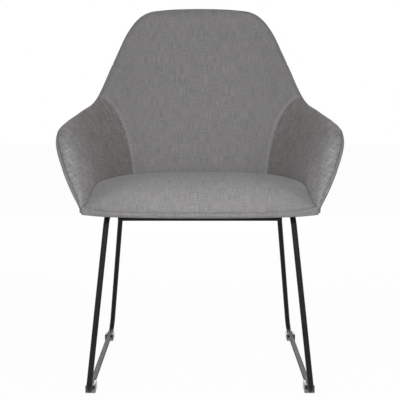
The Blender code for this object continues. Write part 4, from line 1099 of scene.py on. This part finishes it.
def fabric_material(name, base, dark, slubs=1.0, fineness=1.0, crossing=0.75, front=None):
    """Plain weave with slub yarns, and, if given, a lighter tone towards the arms' front edge as
    painted light.
    """
    n = material(name)
    weave = n.add("ShaderNodeAttribute", attribute_name="weave").outputs["Vector"]
    threads = n.split(weave)
    drift = n.noise(weave, 60.0, 1.0)
    across = n.math("ADD", n.math("MULTIPLY", threads["X"], math.pi / THREAD_PITCH),
                    n.math("MULTIPLY", drift, 5.0))
    along = n.math("ADD", n.math("MULTIPLY", threads["Y"], math.pi / THREAD_PITCH),
                   n.math("MULTIPLY", drift, 4.0))
    warp = n.math("ABSOLUTE", n.math("SINE", across))
    weft = n.math("ABSOLUTE", n.math("SINE", along))
    over = n.math("MULTIPLY", n.math("SINE", n.math("ADD", across, math.pi / 2)),
                  n.math("SINE", n.math("ADD", along, math.pi / 2)))
    over = n.math("MULTIPLY", n.math("ADD", over, 1.0), 0.5)
    height = n.math("ADD", n.math("MULTIPLY", warp, over),
                    n.math("MULTIPLY", weft, n.math("SUBTRACT", 1.0, over)))
    slub = n.noise(weave, (SLUBS[0] * fineness, SLUBS[1], 1.0), 2.0, 0.6)
    yarn = n.noise(weave, (YARNS[0], YARNS[1], 1.0), 2.0, 0.6)
    cross = n.noise(weave, (CROSSINGS[0], CROSSINGS[1] * fineness, 1.0), 2.0, 0.6)
    fibre = n.noise(weave, 900.0, 2.0, 0.7)
    tone = 0.5
    for value, middle, share in (
            (slub, 0.5, SLUBS[2] * slubs), (yarn, 0.5, YARNS[2] * slubs),
            (cross, 0.5, crossing * slubs), (fibre, 0.5, FIBRE_SHARE), (height, 0.6, RELIEF_SHARE)):
        tone = n.weigh(n.math("SUBTRACT", value, middle), share, tone)

    def tones(middle, low):
        light = tuple(value * LIGHT_TONE for value in middle)
        return n.ramp(tone, ((DARK_STOP, low), (BASE_STOP, middle), (LIGHT_STOP, light)))

    colour = tones(base, dark)
    if front:
        # Painted light: the lighter front tone is blended in by place, across a band behind the
        # arms' sloping front edge
        place = n.split(n.position())
        behind = n.math("SUBTRACT", place["Y"], n.math("MULTIPLY", place["Z"], ARM_EDGE_SLOPE))
        share = n.math("SUBTRACT", 1.0, n.math(
            "DIVIDE", n.math("SUBTRACT", behind, ARM_EDGE_START), ARM_PAINTED_LIGHT_DEPTH))
        blend = n.add("ShaderNodeMix", data_type="RGBA")
        n.link(n.math("MINIMUM", n.math("MAXIMUM", share, 0.0), 1.0), blend.inputs[0])
        n.link(colour, blend.inputs[6])
        n.link(tones(front, tuple(value * DARK_TONE for value in front)), blend.inputs[7])
        colour = blend.outputs[2]
    n.constant(Sheen_Weight=0.12, Sheen_Roughness=0.5, Specular_IOR_Level=0.12)
    relief = n.math("ADD", height, n.math("MULTIPLY", slub, 0.9))
    return n.surface(colour, n.weigh(height, -0.08, 0.93), relief, 0.5, 0.0005)


def powder_material():
    """Black powder coat with a fine orange peel and slightly uneven gloss."""
    n = material("black_powder_coat")
    peel = n.noise(n.position(), 900.0)
    patch = n.noise(n.position(), 35.0)
    n.constant(Specular_IOR_Level=0.15)
    colour = n.ramp(patch, ((0.3, (0.007, 0.007, 0.0075)), (0.7, (0.011, 0.011, 0.0115))))
    return n.surface(colour, n.weigh(patch, 0.10, 0.42), peel, 0.12, 0.0003)


def clear_material():
    """Clear moulded plastic with faint haze and flow lines."""
    n = material("clear_plastic")
    flow = n.noise(n.position(), (60.0, 220.0, 220.0))
    n.constant(Transmission_Weight=0.75, IOR=1.40, Specular_IOR_Level=0.25)
    colour = n.ramp(flow, ((0.3, (0.035, 0.035, 0.037)), (0.7, (0.075, 0.075, 0.078))))
    return n.surface(colour, n.weigh(flow, 0.05, 0.05))


def zinc_material():
    """Zinc plate with fine tumbling marks."""
    n = material("zinc_plate")
    marks = n.noise(n.position(), 700.0, 3.0, 0.6)
    patch = n.noise(n.position(), 160.0)
    n.constant(Metallic=1.0)
    colour = n.ramp(patch, ((0.3, (0.46, 0.47, 0.47)), (0.7, (0.62, 0.62, 0.60))))
    return n.surface(colour, n.weigh(marks, 0.25, 0.25), marks, 0.15, 0.0002)


def plywood_material():
    """Birch plywood with grain on its faces and plies at its edges."""
    n = material("plywood")
    grain = n.noise(n.position(), (14.0, 220.0, 90.0), 4.0, 0.6)
    place = n.split(n.position())
    level = n.math("ADD", place["Z"], n.math("MULTIPLY", place["Y"], math.tan(PAN_SLOPE)))
    plies = n.math("SINE", n.math("MULTIPLY", level, math.tau / PLY_THICKNESS))
    tone = n.weigh(grain, 0.8, n.math("MULTIPLY", plies, 0.12))
    colour = n.ramp(tone, ((0.2, (0.36, 0.22, 0.11)), (0.75, (0.62, 0.44, 0.26))))
    return n.surface(colour, n.weigh(grain, 0.2, 0.55), grain, 0.2, 0.0003)


def core_material():
    """Moulded shell with a fine grained skin."""
    n = material("moulded_core")
    skin = n.noise(n.position(), 520.0, 3.0, 0.6)
    patch = n.noise(n.position(), 18.0)
    colour = n.ramp(patch, ((0.3, (0.022, 0.022, 0.024)), (0.7, (0.036, 0.036, 0.038))))
    return n.surface(colour, n.weigh(skin, 0.25, 0.50), skin, 0.25, 0.0004)


def dust_material():
    """Black nonwoven cloth with bonded dots and loose fibres."""
    n = material("dust_cover_cloth")
    fibre = n.noise(n.position(), (900.0, 500.0, 500.0), 3.0, 0.7)
    dots = n.add("ShaderNodeTexVoronoi", feature="F1", _Scale=520.0, _Randomness=0.25)
    n.link(n.position(), dots.inputs["Vector"])
    tone = n.weigh(fibre, 0.6, n.math("MULTIPLY", dots.outputs["Distance"], 0.5))
    colour = n.ramp(tone, ((0.2, (0.008, 0.008, 0.009)), (0.8, (0.030, 0.030, 0.032))))
    return n.surface(colour, n.weigh(fibre, 0.1, 0.85), tone, 0.4, 0.0003)


def thread_material(name, dark, light):
    """Twisted sewing thread."""
    n = material(name)
    twist = n.noise(n.position(), (2600.0, 2600.0, 2600.0), 2.0, 0.6)
    colour = n.ramp(twist, ((0.25, (dark,) * 3), (0.75, (light,) * 3)))
    return n.surface(colour, n.weigh(twist, 0.2, 0.6), twist, 0.3, 0.0002)


def floor_material():
    """Pale floor that looks white to the camera and keeps a faint shadow."""
    n = material("studio_floor")
    n.constant(Base_Color=(0.78, 0.78, 0.78, 1.0), Roughness=0.9)
    seen = n.math("MULTIPLY", n.sees_background(), FLOOR_WHITE)
    n.show_white(seen, n.shader, "ShaderNodeEmission")
    return n.owner


def dress(item, finish, slot, *replaced, padding=None):
    """Give a piece its material and place in the frame; the slot argument is not used."""
    item.data.materials.clear()
    item.data.materials.append(finish)
    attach(item, "root")
    if replaced:
        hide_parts(*replaced)


# Camera and light
CAMERA_PLACE = (0, -2.055, 0.641)
CAMERA_PITCH = 7.16
CAMERA_LENS = 81.1
SENSOR_WIDTH = 36.0
FLOOR_HALF_SIZE = 8.0
FLOOR_WHITE = 0.965
SURROUND_LIGHT = 0.22
# Lamps: name, place, target, size and power
LAMPS = (
    ("key_lamp", (0, -1.0, 0.80), (0, -0.05, 0.45), 0.6, 6.3),
    ("front_lamp", (0, -2.4, 0.9), (0, 0, 0.5), 1.5, 9.2),
    ("left_lamp", (-1.8, -1.8, 1.4), (0, 0, 0.5), 1.5, 4.6),
    ("right_lamp", (1.8, -1.8, 1.4), (0, 0, 0.5), 1.5, 9.2),
    ("top_lamp", (0, 2.0, 2.2), (0, 0, 0.5), 1.5, 6.0),
    ("rear_lamp", (0, 2.3, 0.9), (0, 0, 0.5), 1.5, 16.0),
    ("left_rear_lamp", (1.7, 2.0, 0.6), (0, 0, 0.5), 1.0, 8.0),
    ("right_rear_lamp", (-1.7, 2.0, 0.6), (0, 0, 0.5), 1.0, 8.0))


def build_stage():
    """Camera at the photograph's angle, floor, soft lamps and a white surround."""
    scene = bpy.context.scene
    camera = link_object("camera", bpy.data.cameras.new("camera"))
    camera.data.lens = CAMERA_LENS
    camera.data.sensor_width = SENSOR_WIDTH
    camera.location = CAMERA_PLACE
    camera.rotation_euler = (math.radians(90 - CAMERA_PITCH), 0, 0)
    scene.camera = camera
    scene.view_settings.view_transform = "Standard"
    bm = bmesh.new()
    bmesh.ops.create_grid(bm, x_segments=4, y_segments=4, size=FLOOR_HALF_SIZE)
    mesh = bpy.data.meshes.new("studio_floor")
    bm.to_mesh(mesh)
    bm.free()
    mesh.materials.append(floor_material())
    link_object("studio_floor", mesh)
    for name, place, target, size, power in LAMPS:
        light = bpy.data.lights.new(name, "AREA")
        light.size = size
        light.energy = power
        lamp = link_object(name, light)
        lamp.location = place
        aim = Vector(target) - Vector(place)
        lamp.rotation_euler = aim.to_track_quat("-Z", "Y").to_euler()
        lamp.visible_camera = False
    n = Nodes(bpy.data.worlds.new("studio"))
    scene.world = n.owner
    lit = n.tree.nodes["Background"]
    lit.inputs["Color"].default_value = (1, 1, 1, 1)
    lit.inputs["Strength"].default_value = SURROUND_LIGHT
    n.show_white(n.sees_background(), lit, "ShaderNodeBackground")


# Pads: name, first and last station, panel, which ends are seams, and the node replaced
PADS = (
    ("back", -SEAM_STATION, SEAM_STATION, "back", (True, True), "inner_back_pad"),
    ("left_arm", SEAM_STATION, PAD_LAST_STATION, "arm", (True, False), "left_arm_pad"),
    ("right_arm", -PAD_LAST_STATION, -SEAM_STATION, "arm", (False, True), "right_arm_pad"))
# Covers: the same, but for the panel
COVERS = (
    ("back_shell", -COVER_SEAM_STATION, COVER_SEAM_STATION, (True, True), "outer_back_cover"),
    ("left_shell", COVER_SEAM_STATION, LAST_STATION, (True, False), "left_outer_cover"),
    ("right_shell", -LAST_STATION, -COVER_SEAM_STATION, (False, True), "right_outer_cover"))
# How full the padded pieces are, from 0 for slack to 1 for tight
FILL = 0.9


def build_fabric(fabric, seat, arms, thread, fine_thread):
    """Pads, cushion, covers and border with their rows of stitches."""
    swelling = []
    pads = []
    for side, first, last, panel, ends, node in PADS:
        pad, pins, visible = build_pad(side + "_panel", first, last, panel, ends)
        swelling.append((pad, pins.ravel(), *PAD_SWELL))
        pads.append((side, pad, pins.shape, visible, node))
    cushion, front_line = cushion_mesh("seat_cushion_cover")
    filling, pins = cushion_filling()
    rest = coordinates(filling.data)
    swell(swelling + [(filling, pins, *CUSHION_SWELL)])
    carry_over(rest, coordinates(filling.data), cushion)
    bpy.data.objects.remove(filling)
    weave_cushion(cushion)
    for side, pad, _, _, node in pads:
        dress(pad, fabric if side == "back" else arms, "woven_fabric", node, padding=FILL)
    dress(cushion, seat, "woven_fabric", "seat_cushion", padding=FILL)
    for name, first, last, ends, node in COVERS:
        dress(build_cover(name, first, last, ends), fabric, "woven_fabric", node)
    dress(build_border(), seat, "woven_fabric", "front_border")

    for side, pad, shape, visible, _ in pads:
        grid = coordinates(pad.data).reshape(*shape, 3)[:, :visible]
        if side == "back":
            for seam, reverse in (("first", False), ("last", True)):
                for number, distance in enumerate(STITCH_ROWS, 1):
                    points, normals = seam_line(grid, distance, BACK_STITCH_ROWS, reverse)
                    dress(stitch_row(f"back_{seam}_stitches_{number}", points,
                                     towards(points, normals, SITTER)), thread, "woven_fabric")
        else:
            turned = np.transpose(grid, (1, 0, 2))
            points, normals = seam_line(turned, STITCH_ROWS[0], ARM_STITCH_COLUMNS, True)
            normals = towards(points, normals, SITTER + [0, 0, 1])
            dress(stitch_row(side + "_edge_stitches", points, normals, FINE_STITCH_RADIUS),
                  fine_thread, "woven_fabric")
    points = coordinates(cushion.data)[front_line]
    normals = np.tile([0.0, -1.0, 0.0], (len(points), 1))
    dress(stitch_row("seat_front_stitches", points, normals, FINE_STITCH_RADIUS),
          fine_thread, "woven_fabric")


def build_base(powder, plastic):
    """Rod loops and glides in place of the frame's coarser ones."""
    for end, y in GLIDE_Y:
        for side, sign in SIDES:
            glide = build_glide(f"{end}_{side}_saddle", sign * RUNNER_HALF_SPACING, y)
            dress(glide, plastic, "clear_plastic", f"{end}_{side}_glide")
    for side, sign in SIDES:
        dress(build_loop(side + "_rod_loop", sign), powder, "black_powder_coat",
              side + "_side_loop")


# One cloth in three tones that paint light and shade: the back lighter, the arms darker and warmer
# as painted shade, with their front edge lighter as painted light; the usual tone of each and its
# dark threads
BACK_PAINTED_LIGHT_TONES = ((0.239, 0.231, 0.234), (0.141, 0.137, 0.138))
SEAT_TONES = ((0.217, 0.211, 0.212), (0.130, 0.127, 0.127))
ARM_PAINTED_SHADE_TONES = ((0.203, 0.190, 0.188), (0.109, 0.102, 0.101))
ARM_FRONT_PAINTED_LIGHT_TONE = (0.236, 0.232, 0.232)


def main():
    """Build the looks on the frame."""
    build_stage()
    # The cloth's copies paint light and shade: the back lighter, the arms darker and warmer, and
    # their front edge lighter
    build_fabric(
        fabric_material("woven_fabric", *BACK_PAINTED_LIGHT_TONES, slubs=1.2, crossing=0.60),
        fabric_material("woven_fabric_seat", *SEAT_TONES, slubs=1.05),
        fabric_material("woven_fabric_arms", *ARM_PAINTED_SHADE_TONES, slubs=1.6, fineness=0.7,
                        front=ARM_FRONT_PAINTED_LIGHT_TONE),
        thread_material("sewing_thread", 0.34, 0.47), thread_material("fine_thread", 0.17, 0.25))
    powder = powder_material()
    build_base(powder, clear_material())
    # Finish of each of the frame's own nodes, by the end of its name; the last is for the rest
    finishes = (
        ("_plate", powder), ("_crossbar", powder), ("seat_board", plywood_material()),
        ("tub_core", core_material()), ("dust_cover", dust_material()), ("", zinc_material()))
    for name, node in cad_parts.items():
        if not node.hide_render:
            finish = next(finish for ending, finish in finishes if name.endswith(ending))
            for slot in node.material_slots:
                slot.material = finish


main()
